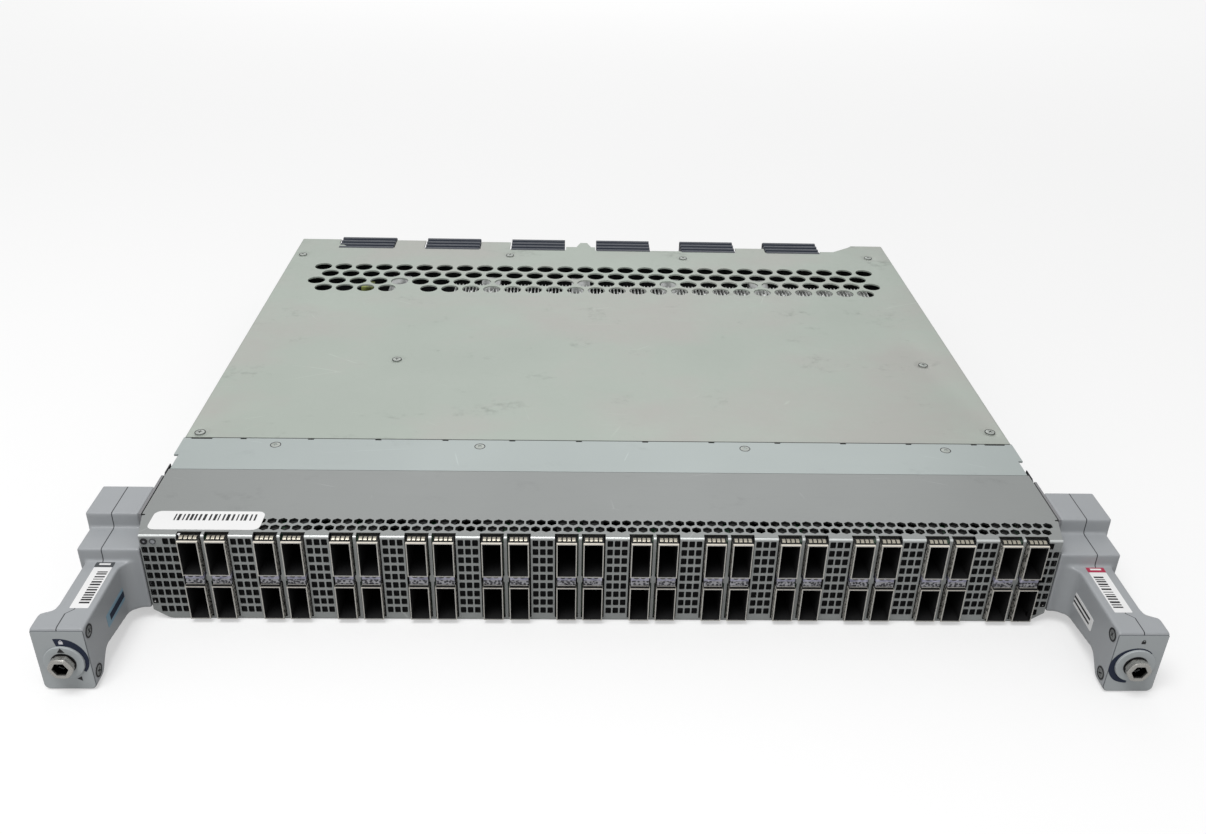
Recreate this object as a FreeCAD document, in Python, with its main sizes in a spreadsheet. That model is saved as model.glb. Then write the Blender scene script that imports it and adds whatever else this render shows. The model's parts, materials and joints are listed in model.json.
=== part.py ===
import FreeCAD, Part
import Sketcher
import math
import os
import re

# A line card for a modular network switch: a folded steel tray and covers around a main board,
# twelve upright riser boards with four transceiver cages each, six backplane connectors, and a
# two-piece handle on each side.  A hex-drive spindle runs through each handle to a lock cam.
#
# Frame: +X to the card's right, +Y to its rear, +Z up.  The origin is at the bottom centre of the
# whole card.  Pieces are drawn from the faceplate's front plane (y = 0 there) and then placed.

doc = FreeCAD.newDocument("line_card")

# ---------------------------------------------------------------- driving dimensions (millimetres)

SIZES = [
    # the folded case
    ("card_width", 440.0, "outside width over the cover"),
    ("card_height", 49.0, "floor to the top of the cover"),
    ("card_depth", 384.0, "faceplate to the rear edge of the tray"),
    ("tray_sheet", 1.2, "steel of the tray"),
    ("tray_return", 12.0, "inward flange along the tray's top edge"),
    ("tray_front", 72.0, "where the tray's side walls begin"),
    ("rear_lip", 6.0, "upstand at the rear of the tray floor"),
    ("cover_sheet", 1.0, "steel of the covers"),
    ("cover_hem", 8.0, "turned-down side of the rear cover"),
    ("slide_gap", 0.15, "clearance between nested sheets"),
    ("seam_gap", 0.3, "clearance at a butt seam"),
    # the faceplate and its flanges
    ("bezel_inset", 5.4, "how far the faceplate stands in from the card's sides"),
    ("bezel_sheet", 1.0, "steel of the faceplate"),
    ("flange_depth", 57.0, "top flange of the faceplate"),
    ("flange_inset", 1.8, "how far the top flange stands in from the card's sides"),
    ("flange_flare", 17.0, "where the top flange reaches its full width"),
    ("toe_depth", 12.0, "bottom flange of the faceplate"),
    ("toe_bend", 1.6, "bend at the faceplate's lower edge"),
    ("corner_run", 8.5, "width of the cut lower corners"),
    ("corner_rise", 6.0, "height of the cut lower corners"),
    # the cross strip between faceplate and cover
    ("strip_rear", 88.1, "rear edge of the cross strip"),
    ("strip_tongue", 6.0, "tongue under the faceplate's top flange"),
    ("strip_shoulder", 71.0, "where the strip widens to the full card"),
    ("strip_notch", 2.4, "how far the strip's front part stands in at each side"),
    ("seam_slot_wide", 3.2, "hook slots along the cover seam"),
    ("seam_slot_deep", 1.2, "depth of a hook slot"),
    ("seam_slot_pitch", 35.27, "pitch of the hook slots"),
    ("seam_slot_side", 6.0, "cover seam at each side without hook slots"),
    ("seam_slot_shift", 5.2, "middle of the hook slots, right of the card's centre"),
    ("corner_slot", 11.0, "length of the long slots at both ends of the seam"),
    # port field
    ("field_side", 9.0, "least room beside the port field"),
    ("group_pitch", 34.74, "pitch of the groups"),
    ("column_pitch", 12.49, "pitch of the two columns in a group"),
    ("field_shift", 5.4, "centre of the port field, right of the card's centre"),
    ("port_wide", 8.6, "port opening, across"),
    ("port_tall", 18.4, "port opening, upright"),
    ("upper_port", 37.8, "centre height of the upper ports"),
    ("lower_port", 12.3, "centre height of the lower ports"),
    ("cage_sheet", 0.4, "sheet of a cage"),
    ("cage_proud", 3.0, "how far a cage stands out of the faceplate"),
    ("cage_rear", 50.0, "rear end of a cage"),
    ("cage_rim", 0.6, "clearance round a cage in the faceplate"),
    ("notch_depth", 3.2, "notch in the top flange over each port"),
    ("lens_proud", 1.2, "how far a light pipe stands out of the faceplate"),
    ("lens_rear", 44.0, "rear end of a light pipe"),
    ("lens_gap", 0.4, "clearance above and below a light pipe"),
    # ventilation grille in the faceplate
    ("hole_wide", 2.4, "grille hole, across"),
    ("hole_tall", 3.3, "grille hole, upright"),
    ("hole_pitch", 3.4, "grille pitch, across"),
    ("row_pitch", 4.9, "grille pitch, upright"),
    ("row_count", 9, "grille rows"),
    ("grille_edge", 0.6, "rim between the faceplate's side edge and the grille"),
    ("top_row", 45.6, "centre height of the top row"),
    # small vents in the top flange
    ("vent_across", 4.2, "vent hexagon across its flats"),
    ("vent_pitch", 5.04, "pitch of the small vents"),
    ("vent_side", 8.0, "top flange at each side without vents"),
    ("vent_front_row", 6.8, "front row of small vents"),
    ("vent_row_gap", 5.4, "distance between the two rows"),
    ("vent_shift", 1.1, "middle of the vent rows, right of the card's centre"),
    # large vents in the rear cover
    ("air_across", 11.4, "large vent across its flats"),
    ("air_pitch", 14.37, "pitch of the large vents"),
    ("air_side", 18.0, "cover at each side without large vents"),
    ("air_row_gap", 12.6, "distance between rows of large vents"),
    ("air_inset", 54.4, "rearmost row of large vents, in from the card's rear edge"),
    # boards
    ("board_thick", 2.4, "thickness of every circuit board"),
    ("board_seat", 5.4, "height of the standoffs"),
    ("board_front", 62.0, "front edge of the main board"),
    ("board_tail", 18.0, "rear edge of the main board, in from the card's rear edge"),
    ("board_inset", 16.0, "how far the main board stands in from the card's sides"),
    ("standoff_across", 5.5, "standoff hexagon across its flats"),
    ("riser_front", 1.6, "front edge of a riser board"),
    ("riser_rear", 80.0, "rear edge of a riser board"),
    ("riser_foot", 3.0, "lower edge of a riser board in front of the main board"),
    ("riser_top", 46.0, "upper edge of a riser board"),
    ("socket_deep", 8.0, "depth of the connector behind each cage"),
    # backplane connectors
    ("plug_count", 6, "backplane connectors"),
    ("plug_pitch", 63.8, "pitch of the backplane connectors"),
    ("plug_shift", -10.5, "middle of the connector row, left of the card's centre"),
    ("plug_wide", 40.0, "width of a connector"),
    ("plug_inset", 32.0, "front of a connector, in from the card's rear edge"),
    ("plug_proud", 7.0, "how far a connector stands out behind the card"),
    ("plug_drop", 0.4, "clearance between a connector and the cover's underside"),
    ("plug_groove", 1.6, "depth of the grooves along a connector"),
    ("plug_slot", 3.0, "width of a contact chamber"),
    ("notch_deep", 16.0, "depth of the cover's notches over the connectors"),
    ("notch_room", 1.0, "room beside a connector in its notch"),
    # cooling and power
    ("sink_wide", 118.0, "width of a heat sink"),
    ("sink_front", 172.0, "front of a heat sink"),
    ("sink_inset", 86.0, "rear of a heat sink, in from the card's rear edge"),
    ("sink_base", 4.0, "base plate of a heat sink"),
    ("sink_top", 45.0, "tip height of the fins"),
    ("sink_spread", 142.0, "distance between the two heat sinks' middles"),
    ("sink_shift", 36.0, "middle of the heat sinks, right of the card's centre"),
    ("fin_thick", 1.2, "thickness of a fin"),
    ("fin_count", 18, "fins on a heat sink"),
    ("chip_wide", 55.0, "side of a switch chip's package"),
    ("chip_thick", 3.6, "thickness of a switch chip's package"),
    ("brick_wide", 58.0, "width of a power brick"),
    ("brick_deep", 37.0, "depth of a power brick"),
    ("brick_tall", 12.5, "height of a power brick"),
    ("brick_front", 108.0, "front of the power bricks"),
    ("brick_pitch", 96.0, "pitch of the power bricks"),
    ("brick_count", 4, "number of power bricks"),
    ("guide_wide", 13.0, "width of a guide block between connectors"),
    ("guide_deep", 27.0, "depth of a guide block"),
    ("guide_inset", 54.0, "rear of a guide block, in from the card's rear edge"),
    ("guide_top", 42.0, "top of a guide block"),
    # side rails and springs
    ("rail_sheet", 1.2, "sheet of a side rail"),
    ("rail_lip", 4.6, "inward lip along a side rail's foot"),
    ("rail_rear", 51.0, "rear end of a side rail"),
    ("spring_thick", 0.5, "strip of a side spring"),
    ("spring_tall", 12.0, "height of a side spring"),
    ("spring_leg", 18.0, "length of a side spring"),
    # handles
    ("handle_foot", 0.5, "height of a handle's lowest edge"),
    ("handle_gap", 0.1, "joint between a handle and the side rail"),
    ("cheek_reach", 4.6, "a handle's cheek beside the faceplate, in from the card's side"),
    ("cheek_deep", 16.8, "depth of that cheek, in front of the side rail"),
    ("foot_start", 4.0, "where the level underside of the blocks begins"),
    ("rear_block_reach", 25.0, "rear block, out from the rail"),
    ("rear_block_front", 17.5, "front of the rear block"),
    ("rear_block_rear", 41.0, "rear of the rear block"),
    ("front_block_reach", 24.0, "front block, out from the rail"),
    ("front_block_top", 41.0, "top of the front block"),
    ("block_foot", 6.4, "lowest edge of the blocks"),
    ("arm_inner", 4.2, "inner side of the arm, out from the rail"),
    ("arm_wide", 16.8, "width of the arm"),
    ("arm_top", 34.3, "top of the arm"),
    ("arm_reach", 38.0, "length of the arm in front of the faceplate"),
    ("arm_waist", 10.9, "underside of the arm behind its head"),
    ("head_deep", 10.2, "depth of the head"),
    ("head_bulge", 6.2, "how far the head stands out beyond the arm"),
    ("web_round", 6.8, "radius between arm and faceplate side"),
    ("head_round", 3.0, "radius of the head's rounded edges"),
    ("edge_round", 1.0, "radius of a handle's small edges"),
    ("seam_inset", 8.5, "seam of the two halves, out from the arm's inner side"),
    ("head_seam", 11.4, "seam in the head, out from the arm's inner side"),
    # spindles
    ("spindle_out", 15.4, "spindle axis, out from the rail"),
    ("spindle_height", 16.3, "height of the spindle axis"),
    ("spindle_proud", 6.8, "how far the spindle stands out of the head"),
    ("barrel_radius", 5.7, "radius of the spindle's drive end"),
    ("barrel_flange", 1.0, "thickness of the collar behind the drive end"),
    ("shaft_radius", 3.0, "radius of the spindle's shaft"),
    ("shaft_fit", 0.05, "radial clearance of a shaft in its bore"),
    ("socket_across", 6.35, "hex socket across its flats"),
    ("socket_depth", 5.0, "depth of the hex socket"),
    ("dial_radius", 8.0, "radius of the dial"),
    ("dial_thick", 0.8, "thickness of the dial"),
    ("turning_gap", 0.3, "gap between turning and standing faces"),
    ("cam_thick", 4.0, "thickness of a lock cam"),
    ("cam_radius", 6.0, "radius of a lock cam's hub"),
    ("cam_reach", 10.0, "reach of a lock cam's nose"),
    # fasteners
    ("screw_head", 3.1, "radius of a cover screw's head"),
    ("screw_rise", 0.4, "height of a cover screw's head"),
    ("clamp_head", 2.4, "radius of a handle screw's head"),
    ("clamp_recess", 1.4, "depth of a handle screw's recess"),
    ("clamp_upper", 29.5, "height of the upper handle screws"),
    ("clamp_lower", 7.2, "height of the lower handle screws"),
    ("clamp_back", 4.6, "handle screws behind the head's front face"),
    ("lamp_radius", 1.1, "radius of a status lamp"),
    ("lamp_inset", 2.2, "first status lamp, in from the faceplate's side edge"),
    ("lamp_pitch", 4.0, "pitch of the status lamps"),
    ("lamp_proud", 0.3, "how far a status lamp stands out"),
    ("lamp_deep", 4.0, "length of a status lamp behind the faceplate"),
]

# rows that run across the card hold as many copies as its width leaves room for
ROWS = [
    ("group_count", "field_side", "group_pitch", "groups of four ports"),
    ("vent_count", "vent_side", "vent_pitch", "small vents in a row"),
    ("air_count", "air_side", "air_pitch", "large vents in a full row"),
    ("seam_slot_count", "seam_slot_side", "seam_slot_pitch", "hook slots along the cover seam"),
]
size = {alias: value for alias, value, note in SIZES}
for alias, margin, pitch, note in ROWS:
    count = int((size["card_width"] - 2 * size[margin]) / size[pitch])
    SIZES.append((alias, count, f"number of {note}"))
    size[alias] = count
ALIASES = set(size)

sheet = doc.addObject("Spreadsheet::Sheet", "Sizes")
for row, (alias, value, note) in enumerate(SIZES, start=1):
    sheet.set(f"A{row}", note)
    sheet.set(f"B{row}", str(value))
    sheet.setAlias(f"B{row}", alias)
doc.recompute()


def formula(text):
    """Put the sheet's name before every alias in a formula."""
    return re.sub(r"[a-z_]+", lambda word: f"Sizes.{word[0]}" if word[0] in ALIASES else word[0], str(text))


def bind(item, **formulas):
    """Bind properties of an object to formulas of the sheet."""
    for name, text in formulas.items():
        item.setExpression(name, formula(text))


# Everything is drawn from the faceplate's front plane.  This shift puts the middle of the whole
# depth, from the spindle's tip to the rear of the backplane connectors, at y = 0.
PLUG_REAR = "(card_depth + plug_proud)"
FACE = f"(arm_reach + head_deep + spindle_proud - {PLUG_REAR}) / 2"
BOARD_REAR = "(card_depth - board_tail)"
SINK_REAR = "(card_depth - sink_inset)"
GUIDE_REAR = "(card_depth - guide_inset)"
BEZEL_HALF = "(card_width / 2 - bezel_inset)"
bezel_half = size["card_width"] / 2 - size["bezel_inset"]

nodes = []


def finish(item, name, x="0", z="0"):
    """Give a finished sub-part its name and its place on the card."""
    item.Label = name
    item.setExpression("Placement.Base.x", formula(x))
    item.setExpression("Placement.Base.y", formula(FACE))
    item.setExpression("Placement.Base.z", formula(z))
    nodes.append(item)
    return item


# ------------------------------------------------------------------------------- drawing helpers

def new_body(name):
    body = doc.addObject("PartDesign::Body", name)
    return body


def new_sketch(body, plane, offset="0"):
    """A sketch on one of the body's origin planes, moved along the plane's normal."""
    sketch = body.newObject("Sketcher::SketchObject", "sketch")
    origin_plane = next(item for item in body.Origin.OriginFeatures if item.Role == plane)
    sketch.AttachmentSupport = [(origin_plane, "")]
    sketch.MapMode = "FlatFace"
    sketch.setExpression("AttachmentOffset.Base.z", formula(offset))
    return sketch


def outline(body, plane, corners, offset="0"):
    """A closed outline of straight edges; each corner is a pair of formulas."""
    sketch = new_sketch(body, plane, offset)
    count = len(corners)
    for number in range(count):
        start = 2 * math.pi * number / count
        end = 2 * math.pi * (number + 1) / count
        first = FreeCAD.Vector(math.cos(start), math.sin(start), 0)
        second = FreeCAD.Vector(math.cos(end), math.sin(end), 0)
        sketch.addGeometry(Part.LineSegment(first, second))
    for number in range(count):
        sketch.addConstraint(Sketcher.Constraint("Coincident", number, 2, (number + 1) % count, 1))
    for number, (across, up) in enumerate(corners):
        for kind, text in (("DistanceX", across), ("DistanceY", up)):
            index = sketch.addConstraint(Sketcher.Constraint(kind, -1, 1, number, 1, 1.0))
            sketch.setExpression(f"Constraints[{index}]", formula(text))
    return sketch


def rectangle(body, plane, left, low, right, high, offset="0"):
    return outline(body, plane, [(left, low), (right, low), (right, high), (left, high)], offset)


def hexagon(body, plane, x, y, across, offset="0"):
    """A regular hexagon with its corners up and down."""
    corners = []
    for step in range(6):
        angle = math.radians(60 * step + 30)
        reach = 1 / math.cos(math.radians(30)) / 2
        corners.append((f"({x}) + ({across}) * {reach * math.cos(angle):.6f}",
                        f"({y}) + ({across}) * {reach * math.sin(angle):.6f}"))
    return outline(body, plane, corners, offset)


def circle(body, plane, x, y, radius, offset="0"):
    sketch = new_sketch(body, plane, offset)
    sketch.addGeometry(Part.Circle(FreeCAD.Vector(0, 0, 0), FreeCAD.Vector(0, 0, 1), 1.0))
    for kind, text in (("DistanceX", x), ("DistanceY", y)):
        index = sketch.addConstraint(Sketcher.Constraint(kind, -1, 1, 0, 3, 1.0))
        sketch.setExpression(f"Constraints[{index}]", formula(text))
    index = sketch.addConstraint(Sketcher.Constraint("Radius", 0, 1.0))
    sketch.setExpression(f"Constraints[{index}]", formula(radius))
    return sketch


def polygon(centre, across, sides, turn):
    """Corners of a regular polygon with the given size across its flats."""
    reach = across / 2 / math.cos(math.pi / sides)
    angles = [2 * math.pi * step / sides + turn for step in range(sides)]
    return [(centre[0] + reach * math.cos(angle), centre[1] + reach * math.sin(angle)) for angle in angles]


def oblong(left, low, wide, tall):
    return [(left, low), (left + wide, low), (left + wide, low + tall), (left, low + tall)]


def punched(body, plane, corners, holes, offset="0"):
    """A sketch of a blank and all the holes punched in it, each a list of corner points."""
    sketch = new_sketch(body, plane, offset)
    edges = []
    for loop in [corners] + holes:
        points = [FreeCAD.Vector(x, y, 0) for x, y in loop]
        edges += [Part.LineSegment(*ends) for ends in zip(points, points[1:] + points[:1])]
    sketch.addGeometry(edges)
    return sketch


def pad(body, sketch, length, middle=False, back=False):
    """Thicken a sketch along its plane's normal, both ways, or against the normal."""
    feature = body.newObject("PartDesign::Pad", "pad")
    feature.Profile = sketch
    feature.Midplane = middle
    feature.Reversed = back
    feature.Refine = False
    bind(feature, Length=length)
    return feature


def pocket(body, sketch, length, middle=False, back=False):
    """Cut a sketch out of the body, against the plane's normal unless back is set."""
    feature = body.newObject("PartDesign::Pocket", "pocket")
    feature.Profile = sketch
    feature.Midplane = middle
    feature.Reversed = back
    feature.Refine = False
    bind(feature, Length=length)
    return feature


def grid(body, cut, sketch, pitch, count, pitch_up=None, count_up=None):
    """Repeat a cut along its sketch's two axes."""
    feature = body.newObject("PartDesign::LinearPattern", "grid")
    feature.Originals = [cut]
    feature.Direction = (sketch, ["H_Axis"])
    feature.Refine = False
    bind(feature, Length=f"({pitch}) * (({count}) - 1)", Occurrences=count)
    if pitch_up:
        feature.Direction2 = (sketch, ["V_Axis"])
        bind(feature, Length2=f"({pitch_up}) * (({count_up}) - 1)", Occurrences2=count_up)
    body.Tip = feature
    return feature


def soften(body, radius, chosen):
    """Round every edge of the body's tip for which chosen(edge) holds."""
    doc.recompute()
    base = body.Tip
    names = [f"Edge{index}" for index, edge in enumerate(base.Shape.Edges, start=1) if chosen(edge)]
    feature = body.newObject("PartDesign::Fillet", "fillet")
    feature.Base = (base, names)
    bind(feature, Radius=radius)
    return feature


def ease(body, plane, corner, inwards, radius, start, end):
    """Round one corner of the outline seen on a plane, from start to end along the third axis.

    inwards gives the two signs that point from the corner into the material.
    """
    steps = 4
    middle = [corner[axis] + inwards[axis] * radius for axis in (0, 1)]
    outside = [corner[axis] - inwards[axis] for axis in (0, 1)]
    loop = [(outside[0], middle[1])]
    for step in range(steps + 1):
        angle = math.pi / 2 * step / steps
        loop.append((middle[0] - inwards[0] * radius * math.cos(angle),
                     middle[1] - inwards[1] * radius * math.sin(angle)))
    loop += [(middle[0], outside[1]), (outside[0], outside[1])]
    along_normal = start if plane == "YZ_Plane" else -end
    pocket(body, punched(body, plane, loop, [], along_normal), end - start, back=True)


def upright_edge(x, y, slack=0.05):
    """A test for vertical edges that stand at x, y."""
    def chosen(edge):
        box = edge.BoundBox
        return (box.ZLength > slack and box.XLength < slack and box.YLength < slack
                and abs(box.XMin - x) < slack and abs(box.YMin - y) < slack)
    return chosen


def cross_edge(y, z, slack=0.05):
    """A test for edges that run across the card at y, z."""
    def chosen(edge):
        box = edge.BoundBox
        return (box.XLength > slack and box.YLength < slack and box.ZLength < slack
                and abs(box.YMin - y) < slack and abs(box.ZMin - z) < slack)
    return chosen


def block(name, x0, x1, y0, y1, z0, z1):
    """A plain rectangular block between six formulas."""
    box = doc.addObject("Part::Box", name)
    bind(box, Length=f"({x1}) - ({x0})", Width=f"({y1}) - ({y0})", Height=f"({z1}) - ({z0})")
    box.setExpression("Placement.Base.x", formula(x0))
    box.setExpression("Placement.Base.y", formula(y0))
    box.setExpression("Placement.Base.z", formula(z0))
    return box


def prism(name, x, y, z, radius, height, sides, turn=None):
    """A post or head with flat sides, radius out to its corners, along Z or along another axis."""
    post = doc.addObject("Part::Prism", name)
    post.Polygon = sides
    bind(post, Circumradius=radius, Height=height)
    if turn:
        post.Placement = FreeCAD.Placement(FreeCAD.Vector(0, 0, 0), turn)
    post.setExpression("Placement.Base.x", formula(x))
    post.setExpression("Placement.Base.y", formula(y))
    post.setExpression("Placement.Base.z", formula(z))
    return post


def joined(name, pieces):
    """Several touching blocks as one solid."""
    fuse = doc.addObject("Part::MultiFuse", name)
    fuse.Shapes = pieces
    return fuse


def together(name, pieces):
    """Like pieces in one node, each still a separate solid."""
    compound = doc.addObject("Part::Compound", name)
    compound.Links = pieces
    return compound


# ---------------------------------------------------------------------------------- sheet metal

def bottom_tray():
    """The tray: a floor with side walls whose tops turn inwards, folded from one sheet."""
    body = new_body("bottom_tray")
    wall = "card_width / 2 - cover_sheet - slide_gap"
    top = "card_height - cover_sheet"
    lip = f"{wall} - tray_return"
    right = [(wall, "0"), (wall, top), (lip, top), (lip, f"{top} - tray_sheet"),
             (f"{wall} - tray_sheet", f"{top} - tray_sheet"), (f"{wall} - tray_sheet", "tray_sheet")]
    left = [(f"-({x})", z) for x, z in reversed(right)]
    profile = outline(body, "XZ_Plane", right + left, "-tray_front")
    pad(body, profile, "card_depth - tray_front", back=True)
    for side in ("-1", "1"):
        clear = rectangle(body, "XY_Plane", f"{side} * ({wall} - tray_sheet)", "tray_front - 1",
                          f"{side} * ({lip} - 1)", "strip_shoulder + seam_gap", top)
        pocket(body, clear, "tray_sheet")
    tongue = rectangle(body, "XY_Plane", f"-({BEZEL_HALF} - corner_run)", "toe_depth + seam_gap",
                       f"{BEZEL_HALF} - corner_run", "tray_front + 1")
    pad(body, tongue, "tray_sheet")
    rear = rectangle(body, "XY_Plane", f"-({lip})", "card_depth - tray_sheet", lip, "card_depth")
    pad(body, rear, "rear_lip")
    return finish(body, "bottom_tray")


def port_columns():
    """Left and right edges of the cut-out for each of the port columns."""
    wide = size["port_wide"] + 2 * size["cage_sheet"] + 2 * size["cage_rim"]
    edges = []
    for number in range(size["group_count"]):
        middle = size["field_shift"] + (number - (size["group_count"] - 1) / 2) * size["group_pitch"]
        for column in (-1, 1):
            centre = middle + column * size["column_pitch"] / 2
            edges.append((centre - wide / 2, centre + wide / 2))
    return edges


def grille_slots():
    """The grille in the faceplate; the holes that stand above one another are drawn as one slot."""
    slots = []

    def slot(left, first, last):
        """A column of holes from its first to its last row, counted from the top."""
        low = size["top_row"] - last * size["row_pitch"] - size["hole_tall"] / 2
        tall = (last - first) * size["row_pitch"] + size["hole_tall"]
        slots.append(oblong(left, low, size["hole_wide"], tall))

    bottom = size["row_count"] - 1
    columns = port_columns()
    for last, first in zip(columns[1:-1:2], columns[2::2]):
        middle = (last[1] + first[0]) / 2
        for column in (-1, 0, 1):
            slot(middle + column * size["hole_pitch"] - size["hole_wide"] / 2, 0, bottom)
    left = size["grille_edge"] - bezel_half
    right = -left - size["hole_wide"] - size["hole_pitch"]
    ends = [(1, bottom - 1), (1, bottom), (1, bottom), (0, bottom), (0, bottom)]
    for column, (first, last) in enumerate(ends):
        slot(left + column * size["hole_pitch"], first, last)
    slot(right, 0, bottom)
    slot(right + size["hole_pitch"], 1, bottom - 1)
    return slots


def small_vents():
    """Two staggered rows of vents in the top flange; each front and rear hole share one slanted slot."""
    half = size["vent_across"] * 0.42
    front = size["vent_front_row"] - size["vent_across"] / 2
    rear = size["vent_front_row"] + size["vent_row_gap"] + size["vent_across"] / 2
    lean = size["vent_pitch"] / 4
    vents = []
    for number in range(size["vent_count"]):
        x = size["vent_shift"] + (number - (size["vent_count"] - 1) / 2) * size["vent_pitch"]
        vents.append([(x - lean - half, front), (x - lean + half, front),
                      (x + lean + half, rear), (x + lean - half, rear)])
    return vents


def front_bezel():
    """The faceplate and its flanges, punched flat and folded: ports, grille and small vents."""
    body = new_body("front_bezel")
    half = bezel_half
    top = size["card_height"]
    foot = size["toe_bend"]
    floor = size["lower_port"] - size["port_tall"] / 2 - size["cage_sheet"] - size["cage_rim"]
    cut_in = size["corner_run"] * (1 - foot / size["corner_rise"])

    face = [(half - cut_in, foot), (half, size["corner_rise"]), (half, top)]
    broad = size["card_width"] / 2 - size["flange_inset"]
    flange = [(half, size["bezel_sheet"]), (broad, size["flange_flare"]), (broad, size["flange_depth"]),
              (-broad, size["flange_depth"]), (-broad, size["flange_flare"]), (-half, size["bezel_sheet"])]
    notches = []
    for left, right in port_columns():
        notches += [(left, size["bezel_sheet"]), (left, size["notch_depth"]),
                    (right, size["notch_depth"]), (right, size["bezel_sheet"])]
    for left, right in reversed(port_columns()):
        face += [(right, top), (right, floor), (left, floor), (left, top)]
    face += [(-half, top), (-half, size["corner_rise"]), (-half + cut_in, foot)]

    lamp_holes = [polygon((size["lamp_inset"] - half + number * size["lamp_pitch"], size["top_row"]),
                          2 * (size["lamp_radius"] + size["slide_gap"]), 8, 0) for number in range(2)]
    plate = punched(body, "XZ_Plane", face, grille_slots() + lamp_holes)
    pad(body, plate, "bezel_sheet", back=True)
    top_flange = punched(body, "XY_Plane", flange + notches, small_vents(), "card_height - bezel_sheet")
    pad(body, top_flange, "bezel_sheet")

    # the lower edge is bent back through a short slope and runs on as the bottom flange
    inner = "toe_bend + bezel_sheet / 2"
    toe = outline(body, "YZ_Plane", [
        ("0", "toe_bend"), ("toe_bend", "0"), ("toe_depth", "0"), ("toe_depth", "bezel_sheet"),
        (inner, "bezel_sheet"), ("bezel_sheet", "toe_bend")])
    pad(body, toe, f"2 * ({BEZEL_HALF} - corner_run)", middle=True)
    return finish(body, "front_bezel")


def cross_strip():
    """The strip between faceplate and cover, joggled so that its tongue goes under the flange."""
    body = new_body("cross_strip")
    front = "flange_depth + seam_gap"
    under = "card_height - bezel_sheet - slide_gap"
    profile = outline(body, "YZ_Plane", [
        (f"{front} - strip_tongue", f"{under} - cover_sheet"), (f"{front} - strip_tongue", under),
        (front, under), (front, "card_height"), ("strip_rear", "card_height"),
        ("strip_rear", "card_height - cover_sheet"), (f"{front} + cover_sheet", "card_height - cover_sheet"),
        (f"{front} + cover_sheet", f"{under} - cover_sheet")])
    pad(body, profile, "card_width", middle=True)
    for side in ("-1", "1"):
        edge = f"{side} * card_width / 2"
        step = outline(body, "XY_Plane", [
            (f"{edge} - {side} * strip_notch", "0"), (f"{edge} - {side} * strip_notch", "strip_shoulder"),
            (f"{edge} + {side} * strip_notch", "strip_shoulder"), (f"{edge} + {side} * strip_notch", "0")])
        pocket(body, step, "2 * card_height", middle=True)
        slot = rectangle(body, "XY_Plane",
                         f"{side} * (card_width / 2 - 4 - corner_slot / 2) - corner_slot / 2",
                         "strip_rear - seam_slot_deep",
                         f"{side} * (card_width / 2 - 4 - corner_slot / 2) + corner_slot / 2",
                         "strip_rear + 1")
        pocket(body, slot, "2 * card_height", middle=True)
    first = "(seam_slot_shift - (seam_slot_count - 1) / 2 * seam_slot_pitch)"
    hook = rectangle(body, "XY_Plane", f"{first} - seam_slot_wide / 2", "strip_rear - seam_slot_deep",
                     f"{first} + seam_slot_wide / 2", "strip_rear + 1")
    cut = pocket(body, hook, "2 * card_height", middle=True)
    grid(body, cut, hook, "seam_slot_pitch", "seam_slot_count")
    return finish(body, "cross_strip")


# how far each tab of the rear edge falls short of the card's depth, from left to right
TAB_SHORT = [0.0, 0.0, 2.0, 1.0, 15.5, 3.0, 0.0]


def plug_middle(number):
    return f"(plug_shift + ({number} - (plug_count - 1) / 2) * plug_pitch)"


def large_vents():
    """Four staggered rows of large vents; the front row has no fifth hole."""
    count = size["air_count"]
    vents = []
    for row in range(4):
        y = size["card_depth"] - size["air_inset"] - row * size["air_row_gap"]
        for number in range(count - row % 2):
            x = (number - (count - 1 - row % 2) / 2) * size["air_pitch"]
            if (row, number) != (3, 4):
                vents.append(polygon((x, y), size["air_across"], 6, 0))
    return vents


def top_cover():
    """The rear cover: hems at both sides, notches over the connectors, four rows of large vents."""
    body = new_body("top_cover")
    half = size["card_width"] / 2
    front = size["strip_rear"] + size["seam_gap"]
    depth = size["card_depth"]
    room = size["plug_wide"] / 2 + size["notch_room"]
    notch = depth - size["notch_deep"]
    blank = [(half, front), (half, depth)]
    for number in reversed(range(size["plug_count"])):
        middle = size["plug_shift"] + (number - (size["plug_count"] - 1) / 2) * size["plug_pitch"]
        blank += [(middle + room, depth - TAB_SHORT[number + 1]), (middle + room, notch),
                  (middle - room, notch), (middle - room, depth - TAB_SHORT[number])]
    blank += [(-half, depth), (-half, front)]
    plate = punched(body, "XY_Plane", blank, large_vents(), "card_height - cover_sheet")
    pad(body, plate, "cover_sheet")
    for side in ("-1", "1"):
        outer = f"{side} * card_width / 2"
        rear = "card_depth"
        hem = outline(body, "XY_Plane", [
            (outer, "strip_rear + seam_gap"), (f"{outer} - {side} * cover_sheet", "strip_rear + seam_gap"),
            (f"{outer} - {side} * cover_sheet", rear), (outer, rear)], "card_height - cover_hem")
        pad(body, hem, "cover_hem - cover_sheet")
    return finish(body, "top_cover")


def side_rail(name, side):
    """An angle of sheet behind a handle's cheek; the handle is fixed to its outer face."""
    body = new_body(name)
    outer = f"{side} * card_width / 2"
    inner = f"{side} * (card_width / 2 - rail_lip)"
    web = f"{side} * (card_width / 2 - rail_sheet)"
    front = "(cheek_deep + seam_gap)"
    profile = outline(body, "XZ_Plane", [
        (outer, "handle_foot"), (outer, "card_height"), (web, "card_height"),
        (web, "handle_foot + rail_sheet"), (inner, "handle_foot + rail_sheet"), (inner, "handle_foot")],
        f"-{front}")
    pad(body, profile, f"rail_rear - {front}", back=True)
    return finish(body, name)


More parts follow.
